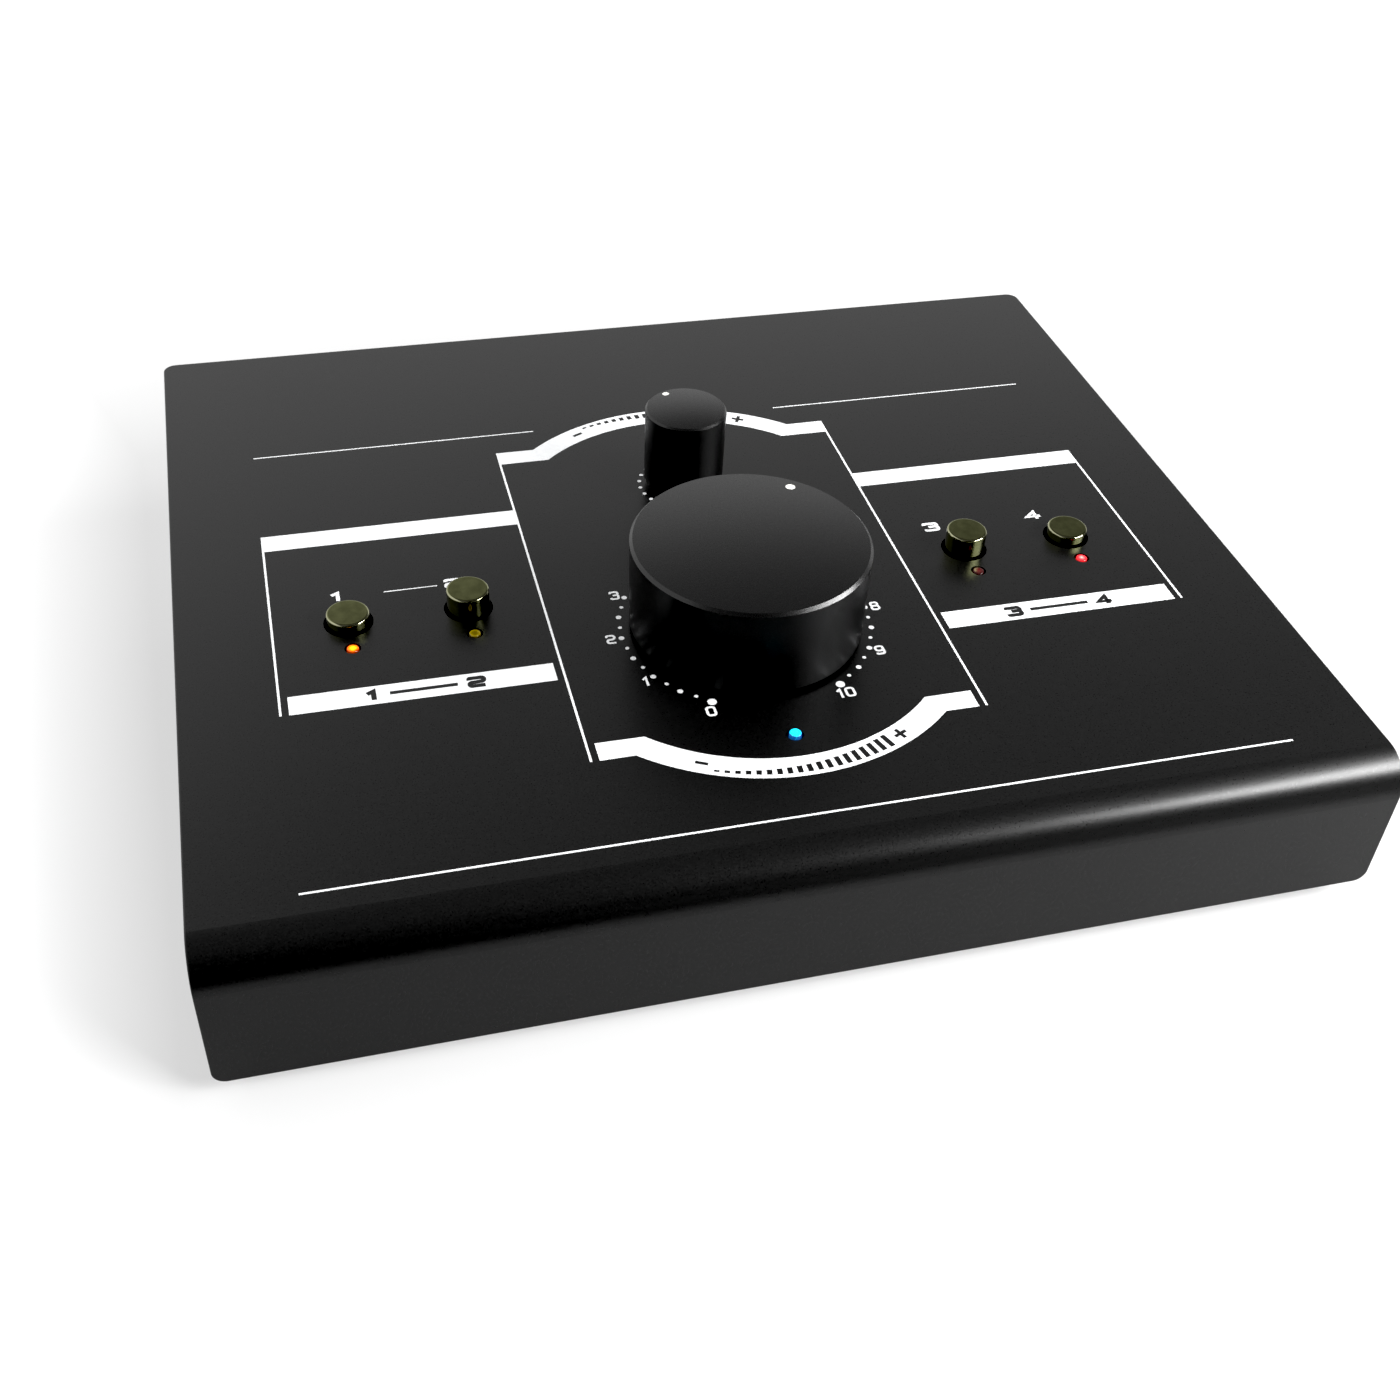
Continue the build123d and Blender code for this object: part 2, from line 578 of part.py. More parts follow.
def make_control_board_screws():
    """Screws up through the control board into its spacers."""
    seat = -CONTROL_BOARD_DEPTH - BOARD_THICKNESS
    return [panel * Pos(x, y, seat) * Rot(180, 0, 0) * pan_screw(SCREW_LENGTH)
            for x, y in control_spacer_places()]


def main_spacer_places():
    """Where the main board stands on the floor."""
    side = MAIN_BOARD_HALF_X - MAIN_SPACER_INSET
    front = MAIN_BOARD_FRONT + MAIN_SPACER_INSET
    back = REAR_FACE - FOOT_INSET_Y - MAIN_SPACER_FOOT_GAP
    return [(x, y) for x in (-side, 0, side) for y in (front, back)]


def make_main_board():
    """Board on the floor that carries the rear connectors."""
    board = block(
        -MAIN_BOARD_HALF_X, MAIN_BOARD_HALF_X,
        MAIN_BOARD_FRONT, REAR_INSIDE - REAR_FLANGE - MAIN_BOARD_REAR_GAP,
        MAIN_BOARD_Z, MAIN_BOARD_TOP)
    reach = MAIN_BOARD_HALF_X - REAR_FLANGE
    board += block(
        -reach, reach, MAIN_BOARD_FRONT + REAR_FLANGE, REAR_INSIDE - MAIN_BOARD_REAR_GAP,
        MAIN_BOARD_Z, MAIN_BOARD_TOP)
    for x, y in main_spacer_places():
        board -= rod(M3_HOLE_RADIUS, 0, FAR, x, y)
    return board


def make_main_board_spacers():
    """Hexagonal spacers between the floor and the main board."""
    spacer = hex_rod(SPACER_WIDTH, TRAY_FLOOR_TOP, MAIN_BOARD_Z)
    spacer -= rod(M3_RADIUS, TRAY_FLOOR_TOP + SHEET, MAIN_BOARD_Z + 1)
    return [Pos(x, y, 0) * spacer for x, y in main_spacer_places()]


def make_main_board_screws():
    """Screws down through the main board into its spacers."""
    return [Pos(x, y, MAIN_BOARD_TOP) * pan_screw(SCREW_LENGTH)
            for x, y in main_spacer_places()]


# ---- ribbon -------------------------------------------------------------------------
def make_control_header():
    """Header under the control board."""
    top = -CONTROL_BOARD_DEPTH - BOARD_THICKNESS
    return panel * block(
        RIBBON_X - HEADER_LENGTH / 2, RIBBON_X + HEADER_LENGTH / 2,
        CONTROL_HEADER_Y - HEADER_DEPTH / 2, CONTROL_HEADER_Y + HEADER_DEPTH / 2,
        top - HEADER_HEIGHT, top)


def make_main_header():
    """Header on the main board."""
    return block(
        RIBBON_X - HEADER_LENGTH / 2, RIBBON_X + HEADER_LENGTH / 2,
        MAIN_HEADER_Y - HEADER_DEPTH / 2, MAIN_HEADER_Y + HEADER_DEPTH / 2,
        MAIN_BOARD_TOP, MAIN_BOARD_TOP + HEADER_HEIGHT)


def make_ribbon_cable():
    """Flat cable from header to header: down, back and up over, and down again."""
    end_depth = CONTROL_BOARD_DEPTH + BOARD_THICKNESS + HEADER_HEIGHT
    start = (panel * Pos(0, CONTROL_HEADER_Y, -end_depth)).position
    first = (panel * Pos(0, CONTROL_HEADER_Y, -end_depth - RIBBON_DROP)).position
    end = Vector(0, MAIN_HEADER_Y, MAIN_BOARD_TOP + HEADER_HEIGHT)
    last = end + Vector(0, 0, RIBBON_RISE)
    route = FilletPolyline(start, first, last, end, radius=RIBBON_BEND)
    plane = Plane(origin=start, x_dir=(1, 0, 0), z_dir=first - start)
    strip = sweep(plane * Rectangle(RIBBON_WIDTH, RIBBON_THICKNESS), path=route)
    return Pos(RIBBON_X, 0, 0) * strip


# ---- potentiometers and knobs -------------------------------------------------------
def make_pot_body(radius):
    """Closed can with its bush and pins: the bush's axis is Z, the panel's face at z 0."""
    top = -COVER_THICKNESS
    bottom = top - POT_DEPTH
    body = rod(radius, bottom, top) + rod(BUSH_RADIUS, top, BUSH_TOP)
    body -= rod(SHAFT_RADIUS + BUSH_FIT, top - 2 * POT_WALL, BUSH_TOP + 1)
    body -= rod(radius - POT_WALL, bottom + POT_WALL, top - POT_WALL)
    pin_circle = radius - POT_WALL - POT_PIN_RADIUS
    pin = rod(POT_PIN_RADIUS, -CONTROL_BOARD_DEPTH, bottom + POT_WALL / 2, pin_circle)
    for step in (-1, 0, 1):
        body += Rot(0, 0, POT_PIN_SPREAD * step - 90) * pin
    return body


def make_pot_shaft(radius, flat_angle):
    """Shaft with its wiper rotor, with a flat that faces the grub screw."""
    top = -COVER_THICKNESS - POT_WALL - ROTOR_PLAY
    rotor = rod(radius - POT_WALL - ROTOR_PLAY, top - ROTOR_THICKNESS, top)
    shaft = rotor + rod(SHAFT_RADIUS, top - ROTOR_THICKNESS, SHAFT_TOP)
    flat = block(
        SHAFT_RADIUS - SHAFT_FLAT, SHAFT_RADIUS + 1, -SHAFT_RADIUS, SHAFT_RADIUS,
        BUSH_TOP + HUB_CLEARANCE, SHAFT_TOP + 1)
    return shaft - Rot(0, 0, flat_angle) * flat


def make_pot_washer():
    """Washer on the panel."""
    return rod(WASHER_RADIUS, 0, WASHER_THICKNESS) - rod(BUSH_RADIUS, -1, 2)


def make_pot_nut():
    """Nut on the bush."""
    top = WASHER_THICKNESS + POT_NUT_HEIGHT
    return hex_rod(POT_NUT_WIDTH, WASHER_THICKNESS, top) - rod(BUSH_RADIUS, -1, top + 1)


def turned(points, dome):
    """A turned body: a half section whose first two points end the domed top."""
    top = ThreePointArc(points[0], dome, points[1])
    sides = [Line(a, b) for a, b in zip(points[1:], points[2:] + points[:1])]
    return revolve(Plane.XZ * make_face([top] + sides), Axis.Z)


def make_master_knob():
    """Large knob: hub and skirt in one, slightly domed, with a bright chamfer."""
    hub_bottom = BUSH_TOP + HUB_CLEARANCE
    rim = MASTER_RADIUS_TOP - MASTER_CHAMFER
    skirt_inside = MASTER_RADIUS_BASE - MASTER_SKIRT
    bore = SHAFT_RADIUS + SHAFT_FIT
    bore_top = SHAFT_TOP + BORE_DEPTH_LEFT
    points = [
        (0, MASTER_TOP + MASTER_DOME), (rim, MASTER_TOP),
        (MASTER_RADIUS_TOP, MASTER_TOP - MASTER_CHAMFER), (MASTER_RADIUS_BASE, MASTER_GAP),
        (skirt_inside, MASTER_GAP), (skirt_inside, MASTER_CEILING),
        (MASTER_HUB_RADIUS, MASTER_CEILING), (MASTER_HUB_RADIUS, hub_bottom),
        (bore, hub_bottom), (bore, bore_top), (0, bore_top),
    ]
    knob = turned(points, dome_point(rim, MASTER_TOP, MASTER_DOME))
    knob -= grub_hole(MASTER_POINTER_ANGLE)
    return knob - master_pointer()


def make_headphone_knob():
    """Small tall knob, slightly wider at the top."""
    rim = HEADPHONE_RADIUS_TOP - HEADPHONE_CHAMFER
    bore = SHAFT_RADIUS + SHAFT_FIT
    bore_top = SHAFT_TOP + BORE_DEPTH_LEFT
    recess_top = BUSH_TOP + HUB_CLEARANCE
    points = [
        (0, HEADPHONE_TOP + HEADPHONE_DOME), (rim, HEADPHONE_TOP),
        (HEADPHONE_RADIUS_TOP, HEADPHONE_TOP - HEADPHONE_CHAMFER),
        (HEADPHONE_RADIUS_BASE, HEADPHONE_GAP), (HEADPHONE_RECESS_RADIUS, HEADPHONE_GAP),
        (HEADPHONE_RECESS_RADIUS, recess_top), (bore, recess_top), (bore, bore_top),
        (0, bore_top),
    ]
    knob = turned(points, dome_point(rim, HEADPHONE_TOP, HEADPHONE_DOME))
    knob -= grub_hole(HEADPHONE_POINTER_ANGLE)
    return knob - headphone_pointer()


def dome_radius(rim, dome):
    """The radius of the sphere that a shallow dome is cut from."""
    return (rim ** 2 + dome ** 2) / (2 * dome)


def dome_point(rim, top, dome):
    """A point half way out on the arc of a shallow dome."""
    radius = dome_radius(rim, dome)
    drop = radius - (radius ** 2 - (rim / 2) ** 2) ** 0.5
    return (rim / 2, top + dome - drop)


def grub_hole(angle):
    """The tapped hole from the shaft's bore out through the knob's side."""
    start = SHAFT_RADIUS - SHAFT_FLAT
    hole = Rot(0, 90, 0) * rod(GRUB_HOLE_RADIUS, start, MASTER_RADIUS_TOP + 1)
    return Rot(0, 0, angle) * Pos(0, 0, GRUB_HEIGHT) * hole


def make_grub_screw(angle):
    """Grub screw that bears on the shaft's flat."""
    start = SHAFT_RADIUS - SHAFT_FLAT
    end = start + GRUB_LENGTH
    screw = rod(GRUB_RADIUS, start, end) - hex_rod(GRUB_SOCKET, end - GRUB_SOCKET, end + 1)
    return Rot(0, 0, angle) * Pos(0, 0, GRUB_HEIGHT) * Rot(0, 90, 0) * screw


def inlay(place, angle, radius, top, dome, rim):
    """A white dot let into a domed top, square to the dome."""
    sphere = dome_radius(rim, dome)
    lean = degrees(asin(place / sphere))
    dot = rod(radius, sphere - POINTER_DEPTH, sphere + POINTER_PROUD)
    return Rot(0, 0, angle) * Pos(0, 0, top + dome - sphere) * Rot(0, lean, 0) * dot


def master_pointer():
    """The large knob's inlaid dot."""
    rim = MASTER_RADIUS_TOP - MASTER_CHAMFER
    return inlay(
        MASTER_POINTER_PLACE, MASTER_POINTER_ANGLE, MASTER_POINTER_RADIUS,
        MASTER_TOP, MASTER_DOME, rim)


def headphone_pointer():
    """The small knob's inlaid dot."""
    rim = HEADPHONE_RADIUS_TOP - HEADPHONE_CHAMFER
    return inlay(
        HEADPHONE_POINTER_PLACE, HEADPHONE_POINTER_ANGLE, HEADPHONE_POINTER_RADIUS,
        HEADPHONE_TOP, HEADPHONE_DOME, rim)


# ---- push buttons -------------------------------------------------------------------
def cap_top(latched):
    """Height of a cap's top above the panel at rest."""
    return CAP_RAISED - BUTTON_TRAVEL if latched else CAP_RAISED


def make_cap(latched):
    """Turned cap with a square socket for its plunger."""
    top = cap_top(latched)
    cap = rod(CAP_RADIUS, top - CAP_LENGTH, top)
    cap = fillet(cap.edges().sort_by(Axis.Z)[-1], CAP_ROUND)
    half = PLUNGER_WIDTH / 2
    bottom = top - CAP_LENGTH
    return cap - block(-half, half, -half, half, bottom - 1, bottom + CAP_SOCKET_DEPTH)


def make_plunger(latched):
    """Square plunger from inside the switch up into the cap."""
    half = PLUNGER_WIDTH / 2
    top = cap_top(latched) - CAP_LENGTH + CAP_SOCKET_DEPTH
    return block(-half, half, -half, half, top - PLUNGER_LENGTH, top)


def make_switch():
    """Latching switch body on the control board."""
    half = SWITCH_WIDTH / 2
    base = -CONTROL_BOARD_DEPTH
    body = block(-half, half, -half, half, base, SWITCH_TOP)
    guide = PLUNGER_WIDTH / 2 + PLUNGER_FIT
    return body - block(-guide, guide, -guide, guide, base + SWITCH_FLOOR, SWITCH_TOP + 1)


# ---- lamps --------------------------------------------------------------------------
def make_led(top):
    """Flat-topped lamp with its flange and two legs."""
    lens = rod(LED_RADIUS, top - LED_LENS_LENGTH, top)
    lens = fillet(lens.edges().sort_by(Axis.Z)[-1], LED_LENS_ROUND)
    bottom = top - LED_LENS_LENGTH
    lens += rod(LED_FLANGE_RADIUS, bottom, bottom + LED_FLANGE_HEIGHT)
    for side in (-1, 1):
        x = side * LED_LEG_PITCH
        lens += rod(LED_LEG_RADIUS, -CONTROL_BOARD_DEPTH, bottom + LED_FLANGE_HEIGHT / 2, x)
    return lens


def make_led_spacer(top):
    """Black tube between the control board and a lamp's flange."""
    bottom = -CONTROL_BOARD_DEPTH
    spacer = rod(LED_SPACER_RADIUS, bottom, top - LED_LENS_LENGTH)
    for side in (-1, 1):
        spacer -= rod(LED_SPACER_BORE, bottom - 1, 0, side * LED_LEG_PITCH)
    return spacer


# ---- rear connectors ----------------------------------------------------------------
def make_dsub_shell():
    """Shell and flange of a 25-way D connector, facing +Z."""
    shell = extrude(dsub_outline(), amount=DSUB_SHELL_PROUD)
    shell += Pos(0, 0, -DSUB_FLANGE_THICKNESS / 2) * Box(
        DSUB_FLANGE_LONG, DSUB_FLANGE_TALL, DSUB_FLANGE_THICKNESS)
    inside = extrude(dsub_outline(-DSUB_SHELL_WALL), amount=FAR)
    shell -= Pos(0, 0, -FAR / 2) * inside
    for side in (-1, 1):
        shell -= rod(M3_RADIUS, -2 * DSUB_FLANGE_THICKNESS, 1, side * DSUB_SCREW_PITCH / 2)
    return shell


def make_dsub_insulator():
    """Insulator of a D connector: its face with 25 sockets, and the body behind the flange."""
    back = -DSUB_FLANGE_THICKNESS
    face = DSUB_SHELL_PROUD - DSUB_FACE_DROP
    core = extrude(dsub_outline(-DSUB_SHELL_WALL), amount=face - back)
    whole = Pos(0, 0, back) * core
    whole += block(
        -DSUB_BODY_LONG / 2, DSUB_BODY_LONG / 2, -DSUB_FLANGE_TALL / 2, DSUB_FLANGE_TALL / 2,
        back - DSUB_BODY_DEPTH, back)
    for count, row_y in ((13, DSUB_ROW_PITCH / 2), (12, -DSUB_ROW_PITCH / 2)):
        for step in range(count):
            x = (step - (count - 1) / 2) * DSUB_PIN_PITCH
            whole -= rod(DSUB_PIN_HOLE, face - DSUB_PIN_DEPTH, face + 1, x, row_y)
    return whole


def make_screwlocks():
    """Hexagonal screwlocks beside each D connector, with a stud into its flange."""
    lock = hex_rod(SCREWLOCK_WIDTH, SHEET, SHEET + SCREWLOCK_HEIGHT)
    lock += rod(M3_RADIUS, -DSUB_FLANGE_THICKNESS - SCREWLOCK_STUD, SHEET)
    lock -= rod(SCREWLOCK_BORE, 2 * SHEET, SHEET + SCREWLOCK_HEIGHT + 1)
    return [dsub_place(x) * Pos(side * DSUB_SCREW_PITCH / 2, 0, 0) * lock
            for x in DSUB_X for side in (-1, 1)]


def make_jack():
    """6.35 mm jack socket: body inside the wall, bush through it, facing +Z."""
    half = JACK_BODY_WIDTH / 2
    body = block(-half, half, -half, half, -JACK_BODY_DEPTH, 0)
    body += rod(JACK_BUSH_RADIUS, 0, SHEET + JACK_BUSH_PROUD)
    top = SHEET + JACK_BUSH_PROUD
    return body - rod(JACK_BORE_RADIUS, top - JACK_BORE_DEPTH, top + 1)


def make_jack_nuts():
    """Nuts on the bushes of all the jacks."""
    nut = hex_rod(JACK_NUT_WIDTH, SHEET, SHEET + JACK_NUT_HEIGHT)
    nut -= rod(JACK_BUSH_RADIUS, 0, SHEET + JACK_NUT_HEIGHT + 1)
    return [jack_place(x) * nut for x in LINE_JACK_X + (HEADPHONE_JACK_X,)]


def make_dc_inlet():
    """Low-voltage inlet on the main board, with its centre pin."""
    front = REAR_FACE + DC_PROUD
    body = block(
        DC_X - DC_BODY_WIDTH / 2, DC_X + DC_BODY_WIDTH / 2, front - DC_BODY_DEPTH, front,
        MAIN_BOARD_TOP, MAIN_BOARD_TOP + DC_BODY_HEIGHT)
    centre = Pos(DC_X, front, MAIN_BOARD_TOP + DC_BODY_HEIGHT / 2) * along_y()
    body -= centre * rod(DC_BORE_RADIUS, -DC_BORE_DEPTH, 1)
    return body + centre * rod(DC_PIN_RADIUS, -DC_BORE_DEPTH - 1, -DC_PIN_SHORT)


# ---- write every piece --------------------------------------------------------------
os.makedirs("parts", exist_ok=True)

save(make_top_cover(), "top_cover")
save(make_base_tray(), "base_tray")
save(make_rear_panel(), "rear_panel")
save(make_rail(-1), "left_cover_rail")
save(make_rail(1), "right_cover_rail")
save(make_cover_studs(), "cover_studs")
save(make_rail_nuts(), "rail_nuts")
save(make_side_screws(), "side_screws")
save(make_rear_panel_screws(), "rear_panel_screws")
save(make_rubber_feet(), "rubber_feet")
save(make_foot_screws(), "foot_screws")

save(make_control_board(), "control_board")
save(make_control_board_spacers(), "control_board_spacers")
save(make_control_board_screws(), "control_board_screws")
save(make_main_board(), "main_board")
save(make_main_board_spacers(), "main_board_spacers")
save(make_main_board_screws(), "main_board_screws")
save(make_control_header(), "control_header")
save(make_main_header(), "main_header")
save(make_ribbon_cable(), "ribbon_cable")

at_headphone = panel * Pos(0, HEADPHONE_Y, 0)
save(panel * make_pot_body(MASTER_POT_RADIUS), "master_pot_body")
save(panel * make_pot_shaft(MASTER_POT_RADIUS, MASTER_POINTER_ANGLE), "master_pot_shaft")
save(panel * make_pot_washer(), "master_pot_washer")
save(panel * make_pot_nut(), "master_pot_nut")
save(panel * make_master_knob(), "master_knob")
save(panel * master_pointer(), "master_knob_pointer")
save(panel * make_grub_screw(MASTER_POINTER_ANGLE), "master_knob_screw")
save(at_headphone * make_pot_body(HEADPHONE_POT_RADIUS), "headphone_pot_body")
save(at_headphone * make_pot_shaft(HEADPHONE_POT_RADIUS, HEADPHONE_POINTER_ANGLE),
     "headphone_pot_shaft")
save(at_headphone * make_pot_washer(), "headphone_pot_washer")
save(at_headphone * make_pot_nut(), "headphone_pot_nut")
save(at_headphone * make_headphone_knob(), "headphone_knob")
save(at_headphone * headphone_pointer(), "headphone_knob_pointer")
save(at_headphone * make_grub_screw(HEADPHONE_POINTER_ANGLE), "headphone_knob_screw")

for name, (x, latched) in BUTTONS.items():
    at_button = panel * Pos(x, BUTTON_Y, 0)
    save(at_button * make_cap(latched), name + "_cap")
    save(at_button * make_plunger(latched), name + "_plunger")
    save(at_button * make_switch(), name + "_switch")
    save(panel * Pos(x, LED_Y, 0) * make_led(LED_TOP), name + "_led")

at_power = panel * Pos(0, POWER_LED_Y, 0)
save(at_power * make_led(POWER_LED_TOP), "power_led")
spacers = [panel * Pos(x, LED_Y, 0) * make_led_spacer(LED_TOP) for x, _ in BUTTONS.values()]
spacers.append(at_power * make_led_spacer(POWER_LED_TOP))
save(spacers, "led_spacers")

save(dsub_place(DSUB_X[0]) * make_dsub_shell(), "input_connector")
save(dsub_place(DSUB_X[1]) * make_dsub_shell(), "output_connector")
save([dsub_place(x) * make_dsub_insulator() for x in DSUB_X], "connector_insulators")
save(make_screwlocks(), "connector_screwlocks")
save([jack_place(x) * make_jack() for x in LINE_JACK_X], "line_jacks")
save(jack_place(HEADPHONE_JACK_X) * make_jack(), "headphone_jack")
save(make_jack_nuts(), "jack_nuts")
save(make_dc_inlet(), "dc_inlet")
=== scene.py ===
import json
from math import atan2, cos, degrees, hypot, pi, radians, sin, tan

import bmesh
import bpy
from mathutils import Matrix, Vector


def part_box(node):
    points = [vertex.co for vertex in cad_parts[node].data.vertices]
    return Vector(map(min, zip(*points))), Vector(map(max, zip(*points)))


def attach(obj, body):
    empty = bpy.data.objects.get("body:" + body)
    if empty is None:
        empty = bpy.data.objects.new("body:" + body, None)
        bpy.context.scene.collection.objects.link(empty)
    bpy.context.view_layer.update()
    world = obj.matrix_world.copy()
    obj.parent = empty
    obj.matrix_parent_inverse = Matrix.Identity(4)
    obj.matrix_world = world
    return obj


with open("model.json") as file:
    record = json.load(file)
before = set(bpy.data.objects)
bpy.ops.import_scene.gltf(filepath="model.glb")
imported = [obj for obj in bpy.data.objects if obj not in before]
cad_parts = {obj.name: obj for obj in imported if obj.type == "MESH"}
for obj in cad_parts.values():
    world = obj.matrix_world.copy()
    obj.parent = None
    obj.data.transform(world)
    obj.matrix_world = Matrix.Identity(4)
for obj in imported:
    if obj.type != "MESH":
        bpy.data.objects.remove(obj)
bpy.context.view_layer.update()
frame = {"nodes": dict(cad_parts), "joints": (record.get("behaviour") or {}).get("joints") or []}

# Looks of a desk-top monitor controller. Blender works in metres; the print and the lamps
# are laid out in millimetres in the panel's own frame: u to the right, v up the slope, w out
# of the panel, from the point where the large knob's axis meets the panel.

MM = 0.001
VOLUME = next(j for j in frame["joints"] if j["name"] == "master_volume")
PANEL_ORIGIN = Vector(VOLUME["pos_m"])
PANEL_NORMAL = Vector(VOLUME["axis"])
PANEL_RIGHT = Vector((1, 0, 0))
PANEL_UP = PANEL_NORMAL.cross(PANEL_RIGHT)
REAR_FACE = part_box("rear_panel")[1].y

# ---- sizes of the print, in millimetres ----------------------------------------------
INK_TOP = 0.04               # the ink's surface above the coat
INK_ROOT = -0.03             # the ink's underside, in the coat
INK_STEP = 0.003             # each stroke of a figure over the one before
INK_OVER = 0.045             # black ink over white ink
ARC_STEP = 2.5               # degrees between the points of an arc
CORNER_STEPS = 6             # straight steps in a rounded corner
CORNER_REACH = 0.48          # the most of a side that a rounded corner takes up
THIN = 0.55                  # width of the frames' lines
HEADER_LINE = 0.4            # width of the two lines near the back
HEADER_V = 98.1
HEADER_LEFT = (-114.8, -36.0)
HEADER_RIGHT = (36.4, 114.8)
SHORT_LINE = 0.34            # width of the line between the left buttons' numbers
SHORT_LINE_V = 30.1
SHORT_LINE_U = (-86.5, -73.0)
FRONT_LINE_X = 115.0         # half the length of the line across the front
FRONT_LINE_V = -68.8
FRAME_X = 48.15              # the centre frame's upright lines
SIDE_X = 114.85              # the side frames' outer lines
SIDE_LINE_FOOT = -12.5       # the front ends of those lines
SIDE_TOP_BAR = (53.0, 59.6)  # the side frames' bars at the back, v from and to
SIDE_LOW_BAR = (-12.55, -6.05)
SIDE_LOW_BAR_X = (50.1, 112.9)
BANNER_MIDDLE = 23.1         # the two banners mirror each other about this height
BANNER_TOP_EDGE = -36.3
BANNER_LOW_EDGE = -42.2
BANNER_END = 46.2
BANNER_KINK_IN = 34.4
BANNER_KINK_OUT = 37.8
BANNER_ARC_IN = 50.1
BANNER_ARC_OUT = 56.6
DIGIT_WIDTH = 1.9
DIGIT_HEIGHT = 2.85
DIGIT_STROKE = 0.62
DIGIT_ROUND = 0.75
ONE_WIDTH = 0.45             # the narrow 1, in widths of the other figures
ONE_SHIFT = 0.22             # where its stroke starts
FIGURE_GAP = 1.2             # between figures, in widths of their strokes
DIAL_START = 240.0           # degrees, the dial's 0
DIAL_SWEEP = 300.0
DIAL_LAST = 10               # the dial's highest number
DIAL_STEPS = 40
END_DOT = (32.0, 1.14)       # the dial's dots: distance from the axis, and radius
EVEN_DOT = (31.76, 0.71)
ODD_DOT = (31.5, 0.5)
SMALL_DIAL_STEPS = 20
SMALL_DIAL_DOT = (12.1, 0.55)
NUMBER_RADIUS = 34.4         # the numbers' circle
ZERO_PLACE = (-17.06, -30.92)
TEN_PLACE = (16.37, -30.85)
HEADPHONE_V = 64.0
MASTER_DOME = (28.75, 25.3, 1.2)   # the dome's edge radius and height, and its rise
HEADPHONE_DOME = (10.5, 23.9, 0.6)
BUTTON_U = (-96.3, -66.6, 66.6, 96.3)
BUTTON_V = 19.6
BUTTON_NUMBER_U = (-98.7, -69.0, 61.3, 91.0)
BUTTON_NUMBER_V = 30.4
BUTTON_NUMBER = (3.0, 3.6, 0.95)   # height, width and stroke
RAMP_BARS = 19               # the growing bars on a banner
RAMP_START = 247.5           # degrees, the first of them
RAMP_SWEEP = 45.0
RAMP_FOOT = 2.1              # the bars' feet, out from the banner's middle
RAMP_FIRST = 0.6             # the first bar's height
RAMP_GROWTH = 3.6            # how much higher the last one is
RAMP_HALF = 0.62             # half a bar's width
SIGN_HALF = 0.45             # half the stroke of the minus and the plus
MINUS_ANGLE = 243.5
MINUS_HALF = 1.5             # half the minus's length
PLUS_ANGLE = 297.0
PLUS_HALF = 1.7
PAIR_MIDDLE = 81.5           # the marks 1 - 2 and 3 - 4 on the front bars of the side frames
PAIR_REACH = 12.5            # from their middle to each figure
PAIR_V = -9.3
PAIR_FIGURE = (2.9, 3.4, 1.25)     # height, width and stroke
PAIR_DASH = 8.0              # half the dash's length
PAIR_DASH_V = (-9.85, -8.75)
REAR_JACKS_X = (-100.0, -72.0, -44.0, -16.0)
REAR_NUMBER = (2.6, 2.3, 0.55)     # height, width and stroke
REAR_NUMBER_DROP = 4.2       # from the jacks' lowest point down to the numbers
LED_V = 9.1
POWER_V = -42.8

# ---- finish of the button caps -----------------------------------------------------------
CAP_RADIUS = 5.33
CAP_TINT = (0.2, 0.21, 0.1)
# Painted highlight: the rim's brighter colour stands in for the light that the rim catches.
CAP_RIM_HIGHLIGHT = (0.5, 0.5, 0.33)

# ---- the ribbon cable ------------------------------------------------------------------
RIBBON_PITCH = 1.27          # millimetres, the width of its red edge
RIBBON_WAVES = 1 / (0.02 * RIBBON_PITCH)   # the scale of its ridges

# ---- light, floor and camera, in metres, watts and degrees -------------------------------
PAPER_REACH = 4.0            # half the paper's side
# Painted light: the paper glows for the camera alone, lifting the shadows beside the object; the
# SHADE_ values shape that glow into the fading shadow at the object's left.
PAPER_LIFT = 0.53            # the paper's own glow beside the object, for the camera
PAPER_NEAR = 0.3             # from the middle: from here out the paper glows more
PAPER_FAR = 0.6              # from here on it is white
SHADE_FADES = (-1, -0.045, 0)  # the way out of the shadow at the object's left
SHADE_NEAR = 0.15            # that way: from here out the shadow fades
SHADE_FAR = 0.187
SHADE_LIFT = 0.78            # the paper's glow past it
# The room from low behind the object (0) over the top (0.5) to low in front of it (1).
SKY = [(0.0, 0.97), (0.235, 0.97), (0.27, 0.33), (0.31, 0.18), (0.36, 0.12), (0.628, 0.11),
       (0.694, 0.06), (0.75, 0.02), (1.0, 0.005)]
WALL_TURN = 0.2              # how far the bright wall behind turns away at the right
WALL_WRAP = 1.5              # how far it comes round at the left
# Painted reflection: a black card that only glossy rays see darkens what the object's front face
# reflects of the floor, less so towards the right.
CARD_REACH = 1.5             # how far the black card runs to the sides and to the front
CARD_HEIGHT = 0.001
CARD_START = -0.148          # where the black card lies on the floor in front of the object
CARD_FULL = -0.185           # from here on it is full black
CARD_LEFT = -0.05            # between these two it thins out to the right
CARD_RIGHT = 0.15
CARD_THIN = 0.72
BLACK_POINT = 0.008          # the light that the picture shows as black
